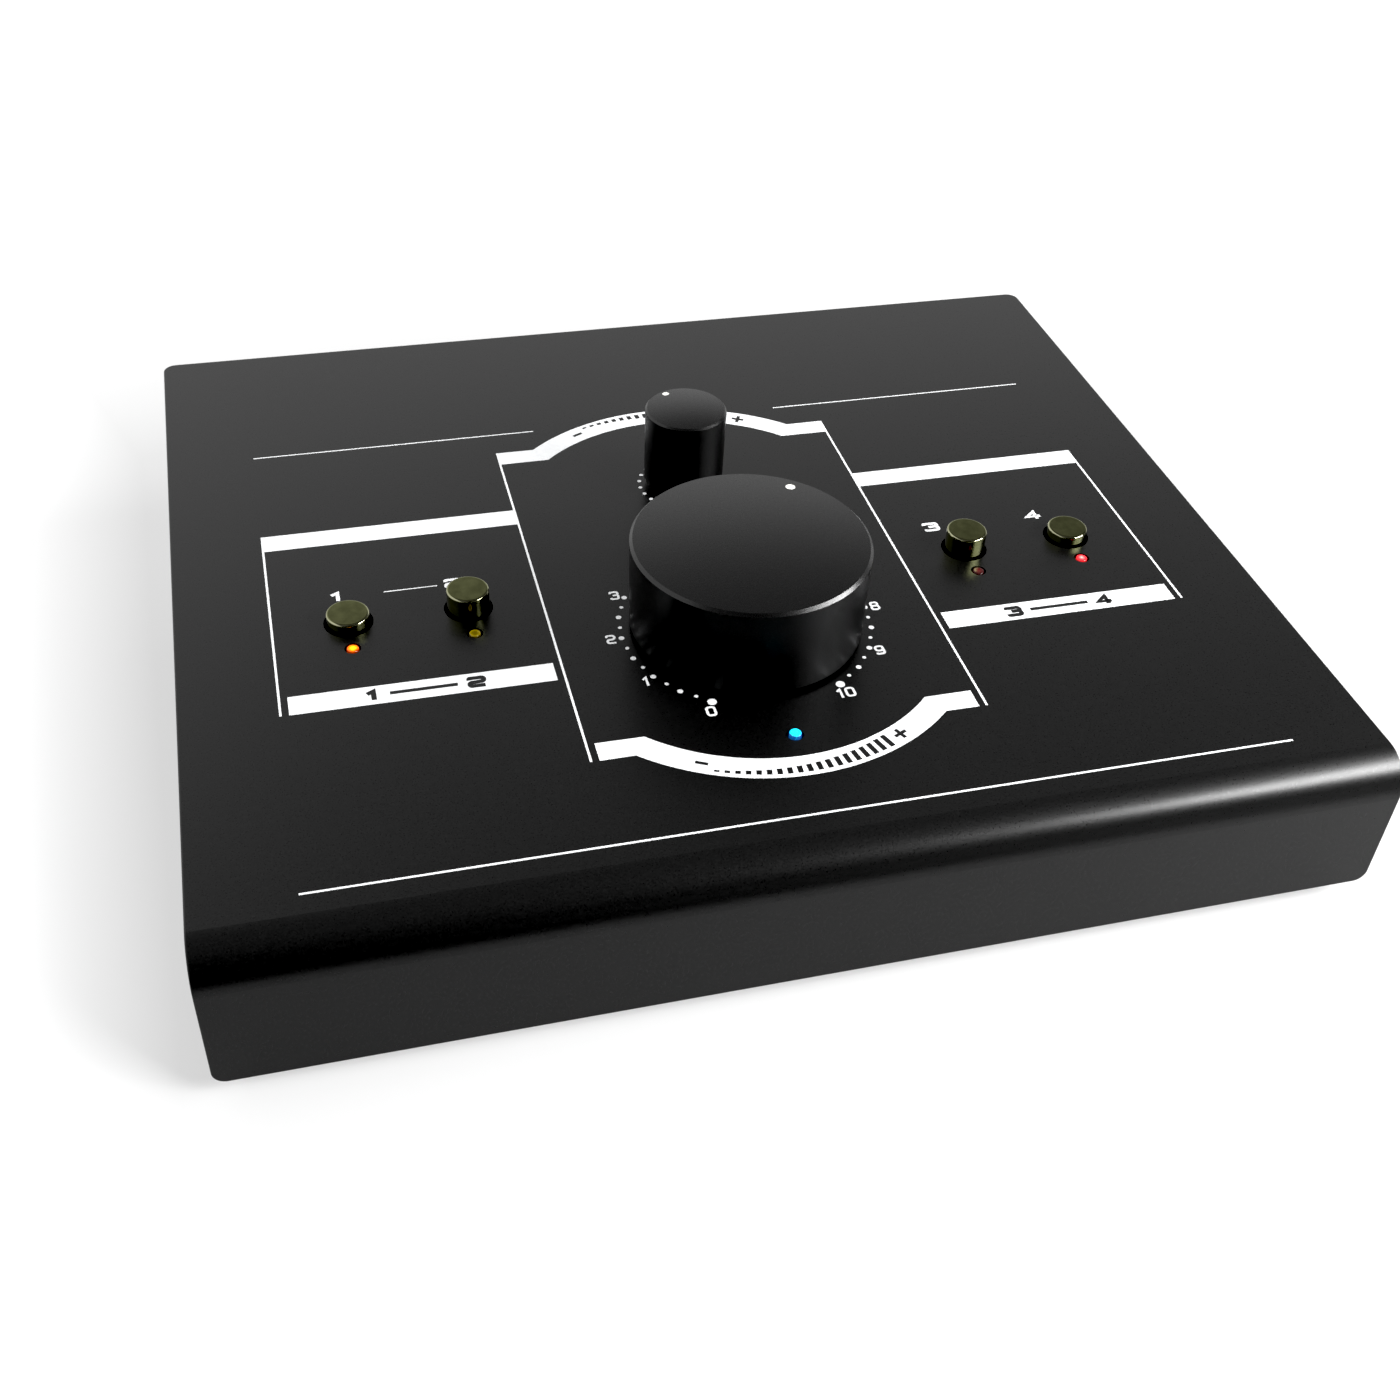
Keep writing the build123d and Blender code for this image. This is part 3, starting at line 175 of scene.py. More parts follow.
# The lamps: place, target, width, height, power.
KEY_STRIP = ((0.412, -0.288, 0.279), (0.138, -0.115, 0.045), 0.39, 0.109, 4.2)
TOP_FILL = ((0, -0.2, 1.4), (0, 0, 0.05), 1.8, 1.8, 21)
FLOOR_FILL = ((0.62, -0.85, 0.75), (0, 0, 0), 0.45, 0.45, 34)
LENS_MM = 42.54
SENSOR_MM = 36.0
CAMERA_PLACE = (-0.1045, -0.3858, 0.2549)
CAMERA_DOWN = 31.2           # below level
CAMERA_TURN = 14.85          # towards the object's right


def panel_point(u, v, w):
    return PANEL_ORIGIN + MM * (u * PANEL_RIGHT + v * PANEL_UP + w * PANEL_NORMAL)


def rear_point(u, v, w):
    """u to the right as seen from behind, v up from the floor, w out of the rear wall."""
    return Vector((-u * MM, REAR_FACE + w * MM, v * MM))


# ---- materials -----------------------------------------------------------------------
def material(name, colour=(0.5, 0.5, 0.5), rough=0.5, metal=0.0, **sockets):
    """A Principled material, and a dictionary of what the texture helpers below need."""
    made = bpy.data.materials.new(name)
    made.use_nodes = True
    tree = made.node_tree
    shader = tree.nodes["Principled BSDF"]
    shader.inputs["Base Color"].default_value = (*colour, 1)
    shader.inputs["Roughness"].default_value = rough
    shader.inputs["Metallic"].default_value = metal
    for socket, value in sockets.items():
        shader.inputs[socket.replace("_", " ")].default_value = value
    place = tree.nodes.new("ShaderNodeTexCoord").outputs["Object"]
    return {"material": made, "tree": tree, "shader": shader, "place": place}


def node(m, kind, **settings):
    made = m["tree"].nodes.new(kind)
    for key, value in settings.items():
        setattr(made, key, value)
    return made


def link(m, out, to):
    m["tree"].links.new(out, to)


def stretched(m, scale):
    """The place on the object, with each axis scaled: for brushed or drawn grain."""
    made = node(m, "ShaderNodeMapping")
    made.inputs["Scale"].default_value = scale
    link(m, m["place"], made.inputs["Vector"])
    return made.outputs["Vector"]


def noise(m, scale, detail=2.0, rough=0.5, place=None):
    made = node(m, "ShaderNodeTexNoise")
    made.inputs["Scale"].default_value = scale
    made.inputs["Detail"].default_value = detail
    made.inputs["Roughness"].default_value = rough
    link(m, place or m["place"], made.inputs["Vector"])
    return made.outputs["Fac"]


def ramp(m, value, stops):
    """A colour for each value: stops are (place, colour)."""
    made = node(m, "ShaderNodeValToRGB")
    bar = made.color_ramp
    while len(bar.elements) < len(stops):
        bar.elements.new(0.5)
    for element, (place, colour) in zip(bar.elements, stops):
        element.position = place
        element.color = (*colour, 1)
    link(m, value, made.inputs["Fac"])
    return made.outputs["Color"]


def spread(m, value, low, high, to_low, to_high):
    made = node(m, "ShaderNodeMapRange")
    for socket, number in zip(made.inputs[1:5], (low, high, to_low, to_high)):
        socket.default_value = number
    link(m, value, made.inputs["Value"])
    return made.outputs["Result"]


def math(m, operation, first, second=None):
    made = node(m, "ShaderNodeMath", operation=operation)
    for socket, value in zip(made.inputs, (first, second)):
        if isinstance(value, (int, float)):
            socket.default_value = value
        elif value is not None:
            link(m, value, socket)
    return made.outputs["Value"]


def bump(m, height, strength, depth_mm, after=None):
    made = node(m, "ShaderNodeBump")
    made.inputs["Strength"].default_value = strength
    made.inputs["Distance"].default_value = depth_mm * MM
    link(m, height, made.inputs["Height"])
    if after:
        link(m, after, made.inputs["Normal"])
    link(m, made.outputs["Normal"], m["shader"].inputs["Normal"])
    return made.outputs["Normal"]


def tone(m, value, stops):
    link(m, ramp(m, value, stops), m["shader"].inputs["Base Color"])


def roughness(m, value, low, high, to_low, to_high):
    link(m, spread(m, value, low, high, to_low, to_high), m["shader"].inputs["Roughness"])


def grey(level):
    return (level, level, level)


def powder_coat(name, level, rough, grain=0.5):
    """Baked black powder: fine grains that each catch the light a little differently."""
    m = material(name, grey(level), rough)
    grains = noise(m, 2400, 3, 0.65)
    tone(m, grains, [(0.3, grey(level * 0.85)), (0.5, grey(level)), (0.7, grey(level * 1.7))])
    roughness(m, grains, 0.3, 0.7, rough - 0.05, rough + 0.05)
    bump(m, grains, grain, 0.01)
    return m["material"]


def white_ink():
    """Screen-printed white: opaque, very slightly uneven."""
    m = material("white_ink", grey(0.87), 0.42)
    tone(m, noise(m, 900, 3), [(0.35, (0.83, 0.84, 0.85)), (0.65, (0.88, 0.89, 0.9))])
    bump(m, noise(m, 2300, 2), 0.12, 0.02)
    return m["material"]


def black_ink():
    m = material("black_ink", grey(0.005), 0.4)
    tone(m, noise(m, 1200, 3), [(0.35, grey(0.004)), (0.65, grey(0.007))])
    bump(m, noise(m, 2300, 2), 0.12, 0.02)
    return m["material"]


def knob_finish(name, v, rim, edge, dome):
    """Black anodised aluminium: bead blasted, duller down the side, with brighter grains, and
    painted shade: a darker specular tint dims the side's reflections.

    The knob's axis meets the panel at v. Its dome rises by dome, from an edge that lies at
    the radius rim and the height edge; the dome's shading follows the exact sphere.
    """
    m = material(name, grey(0.003), 0.28, Specular_IOR_Level=0.6)
    beads = noise(m, 3200, 3, 0.7)
    tone(m, beads, [(0.35, grey(0.002)), (0.6, grey(0.004)), (0.7, grey(0.01)),
                    (0.8, grey(0.03))])
    faces = node(m, "ShaderNodeNewGeometry").outputs["Normal"]
    up = node(m, "ShaderNodeVectorMath", operation="DOT_PRODUCT")
    up.inputs[1].default_value = PANEL_NORMAL
    link(m, faces, up.inputs[0])
    dull = spread(m, up.outputs["Value"], 0.2, 0.6, 0.4, 0.28)
    uneven = spread(m, beads, 0.3, 0.75, 0.05, -0.06)
    link(m, math(m, "ADD", dull, uneven), m["shader"].inputs["Roughness"])
    # Painted shade: a specular tint of 0.3 down the side dims its reflections, against 1 on the
    # top.
    mirror = spread(m, up.outputs["Value"], 0.2, 0.6, 0.3, 1)
    link(m, mirror, m["shader"].inputs["Specular Tint"])
    sphere = (rim ** 2 + dome ** 2) / (2 * dome)
    out = node(m, "ShaderNodeVectorMath", operation="SUBTRACT")
    out.inputs[1].default_value = panel_point(0, v, edge + dome - sphere)
    link(m, m["place"], out.inputs[0])
    turned = node(m, "ShaderNodeVectorTransform", vector_type="NORMAL", convert_from="OBJECT",
                  convert_to="WORLD")
    link(m, out.outputs["Vector"], turned.inputs["Vector"])
    smooth = node(m, "ShaderNodeMix", data_type="VECTOR")
    link(m, spread(m, up.outputs["Value"], 0.97, 0.98, 0, 1), smooth.inputs["Factor"])
    link(m, faces, smooth.inputs[4])
    link(m, turned.outputs["Vector"], smooth.inputs[5])
    bump(m, beads, 0.5, 0.02, smooth.outputs[1])
    return m["material"]


def smoked_chrome(name, u, v):
    """A dark mirror finish with a faint polishing haze, and a painted highlight: brighter colour
    along the rim.
    """
    m = material(name, CAP_TINT, 0.1, 1.0)
    haze = noise(m, 420, 3)
    radius = math(m, "DIVIDE", from_axis(m, u, v), CAP_RADIUS)
    # Painted highlight: a ring of brighter colour near the rim stands in for the light the rim
    # catches.
    rim = ramp(m, radius, [(0.0, CAP_TINT), (0.925, CAP_TINT), (0.945, CAP_RIM_HIGHLIGHT), (0.985, CAP_RIM_HIGHLIGHT),
                           (0.996, CAP_TINT)])
    shade = node(m, "ShaderNodeMix", data_type="RGBA", blend_type="MULTIPLY")
    shade.inputs["Factor"].default_value = 1
    link(m, rim, shade.inputs[6])
    link(m, ramp(m, haze, [(0.3, grey(0.75)), (0.7, grey(1))]), shade.inputs[7])
    link(m, shade.outputs[2], m["shader"].inputs["Base Color"])
    roughness(m, haze, 0.3, 0.7, 0.08, 0.15)
    bump(m, noise(m, 260, 2), 0.05, 0.03)
    return m["material"]


def from_axis(m, u, v):
    """Distance in millimetres from the axis that stands on the panel at u, v."""
    offset = node(m, "ShaderNodeVectorMath", operation="SUBTRACT")
    offset.inputs[1].default_value = panel_point(u, v, 0)
    link(m, m["place"], offset.inputs[0])
    across = node(m, "ShaderNodeVectorMath", operation="CROSS_PRODUCT")
    across.inputs[1].default_value = PANEL_NORMAL
    link(m, offset.outputs["Vector"], across.inputs[0])
    length = node(m, "ShaderNodeVectorMath", operation="LENGTH")
    link(m, across.outputs["Vector"], length.inputs[0])
    return math(m, "MULTIPLY", length.outputs["Value"], 1 / MM)


def lamp(name, u, v, stops, glow):
    """A small tinted lens; stops give its colour from the middle out, over 2 mm. Its glow is its
    own light when lit, and painted light when unlit.
    """
    m = material(name, stops[-1][1], 0.18)
    speck = noise(m, 1500, 2)
    radius = math(m, "MULTIPLY", from_axis(m, u, v), 0.5)
    wavy = math(m, "ADD", radius, math(m, "MULTIPLY", math(m, "SUBTRACT", speck, 0.5), 0.25))
    colour = ramp(m, wavy, stops)
    link(m, colour, m["shader"].inputs["Base Color"])
    link(m, colour, m["shader"].inputs["Emission Color"])
    m["shader"].inputs["Emission Strength"].default_value = glow
    bump(m, speck, 0.1, 0.02)
    return m["material"]


def plastic(name, colour, rough=0.45, grain=0.2, scale=1800):
    """Moulded plastic with a fine spark-eroded texture."""
    m = material(name, colour, rough)
    fine = noise(m, scale, 3)
    dark = tuple(c * 0.85 for c in colour)
    light = tuple(min(1, c * 1.15) for c in colour)
    tone(m, fine, [(0.3, dark), (0.7, light)])
    roughness(m, fine, 0.3, 0.7, rough - 0.05, rough + 0.08)
    bump(m, fine, grain, 0.03)
    return m["material"]


def plated(name, colour, rough=0.28, along=(60, 60, 900), grain=0.1):
    """Plated metal with drawn or turned marks running across one axis."""
    m = material(name, colour, rough, 1.0)
    marks = noise(m, 1, 4, place=stretched(m, along))
    stain = noise(m, 180, 3)
    dark = tuple(c * 0.82 for c in colour)
    light = tuple(min(1, c * 1.1) for c in colour)
    tone(m, stain, [(0.3, dark), (0.7, light)])
    roughness(m, marks, 0.3, 0.7, rough - 0.08, rough + 0.12)
    bump(m, marks, grain, 0.03)
    return m["material"]


def rubber():
    m = material("foot_rubber", grey(0.02), 0.8)
    fine = noise(m, 900, 4)
    tone(m, fine, [(0.3, grey(0.013)), (0.7, grey(0.032))])
    bump(m, fine, 0.5, 0.08)
    return m["material"]


def circuit_board():
    """Green solder mask with copper tracks showing through it as lighter lanes."""
    m = material("board_mask", (0.015, 0.11, 0.05), 0.35)
    brick = node(m, "ShaderNodeTexBrick")
    brick.inputs["Scale"].default_value = 90
    brick.inputs["Mortar Size"].default_value = 0.05
    brick.inputs["Color1"].default_value = (0.012, 0.09, 0.04, 1)
    brick.inputs["Color2"].default_value = (0.016, 0.12, 0.055, 1)
    brick.inputs["Mortar"].default_value = (0.04, 0.22, 0.1, 1)
    link(m, m["place"], brick.inputs["Vector"])
    link(m, brick.outputs["Color"], m["shader"].inputs["Base Color"])
    bump(m, brick.outputs["Fac"], 0.3, 0.04)
    return m["material"]


def ribbon_cable():
    """Flat grey cable with soft ridges, and a red edge; painted shade darkens the grey into the
    grooves between the ridges.
    """
    m = material("ribbon_pvc", grey(0.4), 0.5)
    split = node(m, "ShaderNodeSeparateXYZ")
    link(m, m["place"], split.inputs["Vector"])
    waves = node(m, "ShaderNodeTexWave", wave_type="BANDS", bands_direction="X")
    waves.inputs["Scale"].default_value = RIBBON_WAVES
    link(m, m["place"], waves.inputs["Vector"])
    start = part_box("ribbon_cable")[0].x
    red = math(m, "LESS_THAN", split.outputs["X"], start + RIBBON_PITCH * MM)
    mix = node(m, "ShaderNodeMix", data_type="RGBA")
    link(m, red, mix.inputs["Factor"])
    # Painted shade: the grey follows the ridges' height, darker in the grooves.
    link(m, ramp(m, waves.outputs["Fac"], [(0.0, grey(0.22)), (0.6, grey(0.42))]), mix.inputs[6])
    mix.inputs[7].default_value = (0.5, 0.03, 0.02, 1)
    link(m, mix.outputs[2], m["shader"].inputs["Base Color"])
    bump(m, waves.outputs["Fac"], 0.6, 0.3)
    return m["material"]


def floor_paper():
    """Pale paper with painted light: a glow for the camera alone keeps its shadows light and ends
    them in white.
    """
    m = material("floor_paper", grey(0.2), 0.9, Specular_IOR_Level=0.1)
    tone(m, noise(m, 3, 2), [(0.3, grey(0.195)), (0.7, grey(0.205))])
    seen = node(m, "ShaderNodeLightPath").outputs["Is Camera Ray"]
    away = node(m, "ShaderNodeVectorMath", operation="LENGTH")
    link(m, m["place"], away.inputs[0])
    far = spread(m, away.outputs["Value"], PAPER_NEAR, PAPER_FAR, PAPER_LIFT, 1)
    # Painted shadow fade: along SHADE_FADES, from SHADE_NEAR to SHADE_FAR, the glow grows, so the
    # shadow at the object's left fades out.
    aside = node(m, "ShaderNodeVectorMath", operation="DOT_PRODUCT")
    aside.inputs[1].default_value = SHADE_FADES
    link(m, m["place"], aside.inputs[0])
    left = spread(m, aside.outputs["Value"], SHADE_NEAR, SHADE_FAR, PAPER_LIFT, SHADE_LIFT)
    painted_glow = math(m, "MAXIMUM", far, left)
    m["shader"].inputs["Emission Color"].default_value = (1, 1, 1, 1)
    link(m, math(m, "MULTIPLY", seen, painted_glow), m["shader"].inputs["Emission Strength"])
    return m["material"]


def card_black():
    """Painted dark reflections: black that thins out towards the object and towards the right, so
    no edge shows.
    """
    m = material("black_card", grey(0.0), 1.0, Specular_IOR_Level=0.0)
    split = node(m, "ShaderNodeSeparateXYZ")
    link(m, m["place"], split.inputs["Vector"])
    near = spread(m, split.outputs["Y"], CARD_FULL, CARD_START, 1, 0)
    right = spread(m, split.outputs["X"], CARD_LEFT, CARD_RIGHT, 1, CARD_THIN)
    link(m, math(m, "MULTIPLY", near, right), m["shader"].inputs["Alpha"])
    return m["material"]


# ---- building flat print ---------------------------------------------------------------
def slab(mesh, place, first, second, top, closed=False):
    """A thin solid between two lines of (u, v) points that run side by side."""
    rows = []
    for height in (top, INK_ROOT):
        rows.append([[mesh.verts.new(place(u, v, height)) for u, v in line]
                     for line in (first, second)])
    (top_a, top_b), (low_a, low_b) = rows
    count = len(first)
    for i in range(count if closed else count - 1):
        j = (i + 1) % count
        mesh.faces.new((top_a[i], top_a[j], top_b[j], top_b[i]))
        mesh.faces.new((low_b[i], low_b[j], low_a[j], low_a[i]))
        mesh.faces.new((top_a[j], top_a[i], low_a[i], low_a[j]))
        mesh.faces.new((top_b[i], top_b[j], low_b[j], low_b[i]))
    if not closed:
        mesh.faces.new((top_a[0], top_b[0], low_b[0], low_a[0]))
        mesh.faces.new((top_b[-1], top_a[-1], low_a[-1], low_b[-1]))


def disc(mesh, place, u, v, radius, top=INK_TOP, count=20):
    """A round dot, as a thin solid."""
    ring = [(u + radius * cos(radians(360 * i / count)),
             v + radius * sin(radians(360 * i / count))) for i in range(count)]
    upper = [mesh.verts.new(place(x, y, top)) for x, y in ring]
    lower = [mesh.verts.new(place(x, y, INK_ROOT)) for x, y in ring]
    mesh.faces.new(upper)
    mesh.faces.new(lower[::-1])
    for i in range(count):
        j = (i + 1) % count
        mesh.faces.new((upper[j], upper[i], lower[i], lower[j]))


def bar(mesh, place, u0, u1, v0, v1, top=INK_TOP):
    slab(mesh, place, [(u0, v0), (u1, v0)], [(u0, v1), (u1, v1)], top)


def rounded(points, radius, closed=False):
    """The line through the points, with its corners turned into short arcs."""
    out = []
    count = len(points)
    for i, here in enumerate(points):
        if not closed and i in (0, count - 1):
            out.append(here)
            continue
        before, after = points[i - 1], points[(i + 1) % count]
        a = Vector(before) - Vector(here)
        b = Vector(after) - Vector(here)
        corner = a.angle(b)
        reach = min(radius / tan(corner / 2), CORNER_REACH * a.length, CORNER_REACH * b.length)
        start = Vector(here) + a.normalized() * reach
        end = Vector(here) + b.normalized() * reach
        for step in range(CORNER_STEPS + 1):
            t = step / CORNER_STEPS
            point = start.lerp(Vector(here), t).lerp(Vector(here).lerp(end, t), t)
            out.append((point.x, point.y))
    return out


def stroke(mesh, place, line, width, top, closed=False):
    """A line of even width along the points, mitred where it turns."""
    count = len(line)
    first, second = [], []
    for i, (u, v) in enumerate(line):
        before = line[i - 1] if closed or i else None
        after = line[(i + 1) % count] if closed or i < count - 1 else None
        normals = []
        for start, end in ((before, (u, v)), ((u, v), after)):
            if start is not None and end is not None:
                run = hypot(end[0] - start[0], end[1] - start[1])
                normals.append(Vector(((start[1] - end[1]) / run, (end[0] - start[0]) / run)))
        mean = sum(normals, Vector((0, 0))).normalized()
        reach = width / 2 / max(0.5, mean.dot(normals[0]))
        first.append((u + mean.x * reach, v + mean.y * reach))
        second.append((u - mean.x * reach, v - mean.y * reach))
    slab(mesh, place, first, second, top, closed)


# Strokes of the figures on a unit square: (points, closed, corners rounded).
FIGURES = {
    "0": [([(0, 0), (1, 0), (1, 1), (0, 1)], True, True)],
    "1": [([(0.22, 0.7), (0.66, 0.97), (0.66, -0.1)], False, False)],
    "2": [([(0, 0.76), (0, 1), (1, 1), (1, 0.5), (0, 0.44), (0, 0), (1.05, 0)], False, True)],
    "3": [([(0, 0.8), (0, 1), (1, 1), (1, 0.53), (0.3, 0.53)], False, True),
          ([(0.35, 0.53), (1, 0.53), (1, 0), (0, 0), (0, 0.2)], False, True)],
    "4": [([(0.76, -0.1), (0.76, 1), (0, 0.3), (1.12, 0.3)], False, False)],
    "5": [([(1, 1), (0.04, 1), (0.04, 0.58), (1, 0.58), (1, 0), (0, 0), (0, 0.2)], False, True)],
    "6": [([(0.98, 0.82), (0.98, 1), (0, 1), (0, 0.3)], False, True),
          ([(0, 0), (1, 0), (1, 0.57), (0, 0.57)], True, True)],
    "7": [([(-0.1, 1), (1, 1), (0.35, -0.1)], False, False)],
    "8": [([(0, 0), (1, 0), (1, 0.53), (0, 0.53)], True, True),
          ([(0.04, 0.53), (0.96, 0.53), (0.96, 1), (0.04, 1)], True, True)],
    "9": [([(0.02, 0.18), (0.02, 0), (1, 0), (1, 0.7)], False, True),
          ([(0, 0.43), (1, 0.43), (1, 1), (0, 1)], True, True)],
}


def figures(mesh, place, text, u, v, height, width, weight, top=INK_TOP):
    """A number in squarish figures, centred at u, v.

    Height and width are measured to the middles of the strokes, and weight is their width.
    """
    gap = weight * FIGURE_GAP
    widths = [width * (ONE_WIDTH if c == "1" else 1) + weight for c in text]
    left = u - (sum(widths) + gap * (len(text) - 1)) / 2
    for character, span in zip(text, widths):
        start = left + weight / 2 - (width * ONE_SHIFT if character == "1" else 0)
        for layer, (points, closed, soft) in enumerate(FIGURES[character]):
            line = [(start + x * width, v + (y - 0.5) * height) for x, y in points]
            if soft:
                line = rounded(line, DIGIT_ROUND * weight / DIGIT_STROKE, closed)
            stroke(mesh, place, line, weight, top + layer * INK_STEP, closed)
        left += span + gap


def piece(name, mesh, look, body="chassis"):
    """Turns the mesh into an object that moves with a body."""
    bmesh.ops.recalc_face_normals(mesh, faces=mesh.faces[:])
    data = bpy.data.meshes.new(name)
    mesh.to_mesh(data)
    mesh.free()
    made = bpy.data.objects.new(name, data)
    bpy.context.scene.collection.objects.link(made)
    data.materials.append(look)
    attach(made, body)
    return made


def arc(radius, start, end, middle=(0.0, 0.0)):
    """Points on a circle from one angle to another, in degrees."""
    count = max(2, round(abs(end - start) / ARC_STEP) + 1)
    angles = [radians(start + (end - start) * i / (count - 1)) for i in range(count)]
    return [(middle[0] + radius * cos(a), middle[1] + radius * sin(a)) for a in angles]


def angle_of(u, v):
    return degrees(atan2(v, u))


# ---- the print on the panel --------------------------------------------------------------
def banner(mesh, flip, end):
    """The curved bar round a dial: straight ends and an arc between them."""
    inner = arc(BANNER_ARC_IN, angle_of(-BANNER_KINK_IN, BANNER_TOP_EDGE) + 360,
                angle_of(BANNER_KINK_IN, BANNER_TOP_EDGE) + 360)
    outer = arc(BANNER_ARC_OUT, angle_of(-BANNER_KINK_OUT, BANNER_LOW_EDGE) + 360,
                angle_of(BANNER_KINK_OUT, BANNER_LOW_EDGE) + 360)
    count = min(len(inner), len(outer))
    inner = [(-end, BANNER_TOP_EDGE), *resample(inner, count), (end, BANNER_TOP_EDGE)]
    outer = [(-end, BANNER_LOW_EDGE), *resample(outer, count), (end, BANNER_LOW_EDGE)]
    if flip:
        inner = [(u, 2 * BANNER_MIDDLE - v) for u, v in inner]
        outer = [(u, 2 * BANNER_MIDDLE - v) for u, v in outer]
    slab(mesh, panel_point, inner, outer, INK_TOP)


def resample(line, count):
    return [line[round(i * (len(line) - 1) / (count - 1))] for i in range(count)]


def print_bars(ink):
    mesh = bmesh.new()
    banner(mesh, False, BANNER_END)
    banner(mesh, True, FRAME_X)
    for side in (-1, 1):
        near, far = sorted((side * FRAME_X, side * SIDE_X))
        bar(mesh, panel_point, near, far, *SIDE_TOP_BAR, INK_TOP + INK_STEP)
        near, far = sorted(side * x for x in SIDE_LOW_BAR_X)
        bar(mesh, panel_point, near, far, *SIDE_LOW_BAR)
    piece("panel_bars", mesh, ink)


def print_lines(ink):
    mesh = bmesh.new()
    half = THIN / 2
    uprights = ((FRAME_X, BANNER_LOW_EDGE, 2 * BANNER_MIDDLE - BANNER_LOW_EDGE),
                (SIDE_X, SIDE_LINE_FOOT, SIDE_TOP_BAR[1]))
    for side in (-1, 1):
        for x, low, high in uprights:
            bar(mesh, panel_point, side * x - half, side * x + half, low, high,
                INK_TOP + 2 * INK_STEP)
    bar(mesh, panel_point, -FRONT_LINE_X, FRONT_LINE_X, FRONT_LINE_V - half, FRONT_LINE_V + half)
    half = HEADER_LINE / 2
    for ends in (HEADER_LEFT, HEADER_RIGHT):
        bar(mesh, panel_point, *ends, HEADER_V - half, HEADER_V + half)
    half = SHORT_LINE / 2
    bar(mesh, panel_point, *SHORT_LINE_U, SHORT_LINE_V - half, SHORT_LINE_V + half)
    piece("panel_lines", mesh, ink)


def print_dials(ink):
    mesh = bmesh.new()
    for step in range(DIAL_STEPS + 1):
        angle = radians(DIAL_START - step * DIAL_SWEEP / DIAL_STEPS)
        if step in (0, DIAL_STEPS):
            place, size = END_DOT
        elif step % 2 == 0:
            place, size = EVEN_DOT
        else:
            place, size = ODD_DOT
        disc(mesh, panel_point, place * cos(angle), place * sin(angle), size)
    place, size = SMALL_DIAL_DOT
    for step in range(SMALL_DIAL_STEPS + 1):
        angle = radians(DIAL_START - step * DIAL_SWEEP / SMALL_DIAL_STEPS)
        disc(mesh, panel_point, place * cos(angle), HEADPHONE_V + place * sin(angle), size)
    piece("dial_dots", mesh, ink)
    mesh = bmesh.new()
    angles = [radians(DIAL_START - number * DIAL_SWEEP / DIAL_LAST)
              for number in range(DIAL_LAST + 1)]
    places = [(NUMBER_RADIUS * cos(angle), NUMBER_RADIUS * sin(angle)) for angle in angles]
    places[0], places[DIAL_LAST] = ZERO_PLACE, TEN_PLACE
    for number, (u, v) in enumerate(places):
        figures(mesh, panel_point, str(number), u, v, DIGIT_HEIGHT, DIGIT_WIDTH, DIGIT_STROKE)
    piece("dial_numbers", mesh, ink)


def print_button_numbers(ink):
    mesh = bmesh.new()
    for number, u in enumerate(BUTTON_NUMBER_U, 1):
        figures(mesh, panel_point, str(number), u, BUTTON_NUMBER_V, *BUTTON_NUMBER)
    piece("button_numbers", mesh, ink)


def ramp_marks(mesh, flip):
    """A minus, a row of bars that grow, and a plus, along a banner's arc."""
    radius = (BANNER_ARC_IN + BANNER_ARC_OUT) / 2
    top = INK_TOP + INK_OVER

    def at(angle, out, along):
        """The panel point that lies out and along from the arc at that angle."""
        a = radians(angle)
        u = (radius + out) * cos(a) - along * sin(a)
        v = (radius + out) * sin(a) + along * cos(a)
        return (u, 2 * BANNER_MIDDLE - v) if flip else (u, v)

    def block(angle, out0, out1, half, layer=0):
        slab(mesh, panel_point, [at(angle, out0, -half), at(angle, out1, -half)],
             [at(angle, out0, half), at(angle, out1, half)], top + layer * INK_STEP)

    for i in range(RAMP_BARS):
        angle = RAMP_START + RAMP_SWEEP * i / (RAMP_BARS - 1)
        rise = RAMP_FIRST + RAMP_GROWTH * i / (RAMP_BARS - 1)
        block(angle, RAMP_FOOT - rise, RAMP_FOOT, RAMP_HALF)
    block(MINUS_ANGLE, -SIGN_HALF, SIGN_HALF, MINUS_HALF)
    block(PLUS_ANGLE, -SIGN_HALF, SIGN_HALF, PLUS_HALF)
    block(PLUS_ANGLE, -PLUS_HALF, PLUS_HALF, SIGN_HALF, 1)


def print_bar_marks(ink):
    mesh = bmesh.new()
    ramp_marks(mesh, False)
    ramp_marks(mesh, True)
    top = INK_TOP + INK_OVER
    for side, numbers in ((-1, "12"), (1, "34")):
        middle = side * PAIR_MIDDLE
        for text, offset in zip(numbers, (-PAIR_REACH, PAIR_REACH)):
            figures(mesh, panel_point, text, middle + offset, PAIR_V, *PAIR_FIGURE, top)
        bar(mesh, panel_point, middle - PAIR_DASH, middle + PAIR_DASH, *PAIR_DASH_V, top)
    piece("bar_marks", mesh, ink)


def print_rear(ink):
    mesh = bmesh.new()
    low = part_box("line_jacks")[0].z / MM - REAR_NUMBER_DROP
    for number, x in enumerate(REAR_JACKS_X, 1):
        figures(mesh, rear_point, str(number), -x, low, *REAR_NUMBER)
    piece("rear_numbers", mesh, ink)


# ---- light, floor, camera ------------------------------------------------------------------
def softbox(name, place, target, width, height, power):
    """A soft rectangular lamp that the camera itself doesn't see."""
    data = bpy.data.lights.new(name, "AREA")
    data.shape = "RECTANGLE"
    data.size, data.size_y = width, height
    data.energy = power
    made = bpy.data.objects.new(name, data)
    made.location = place
    made.rotation_euler = (Vector(target) - Vector(place)).to_track_quat("-Z", "Y").to_euler()
    made.visible_camera = False
    bpy.context.scene.collection.objects.link(made)
    return made


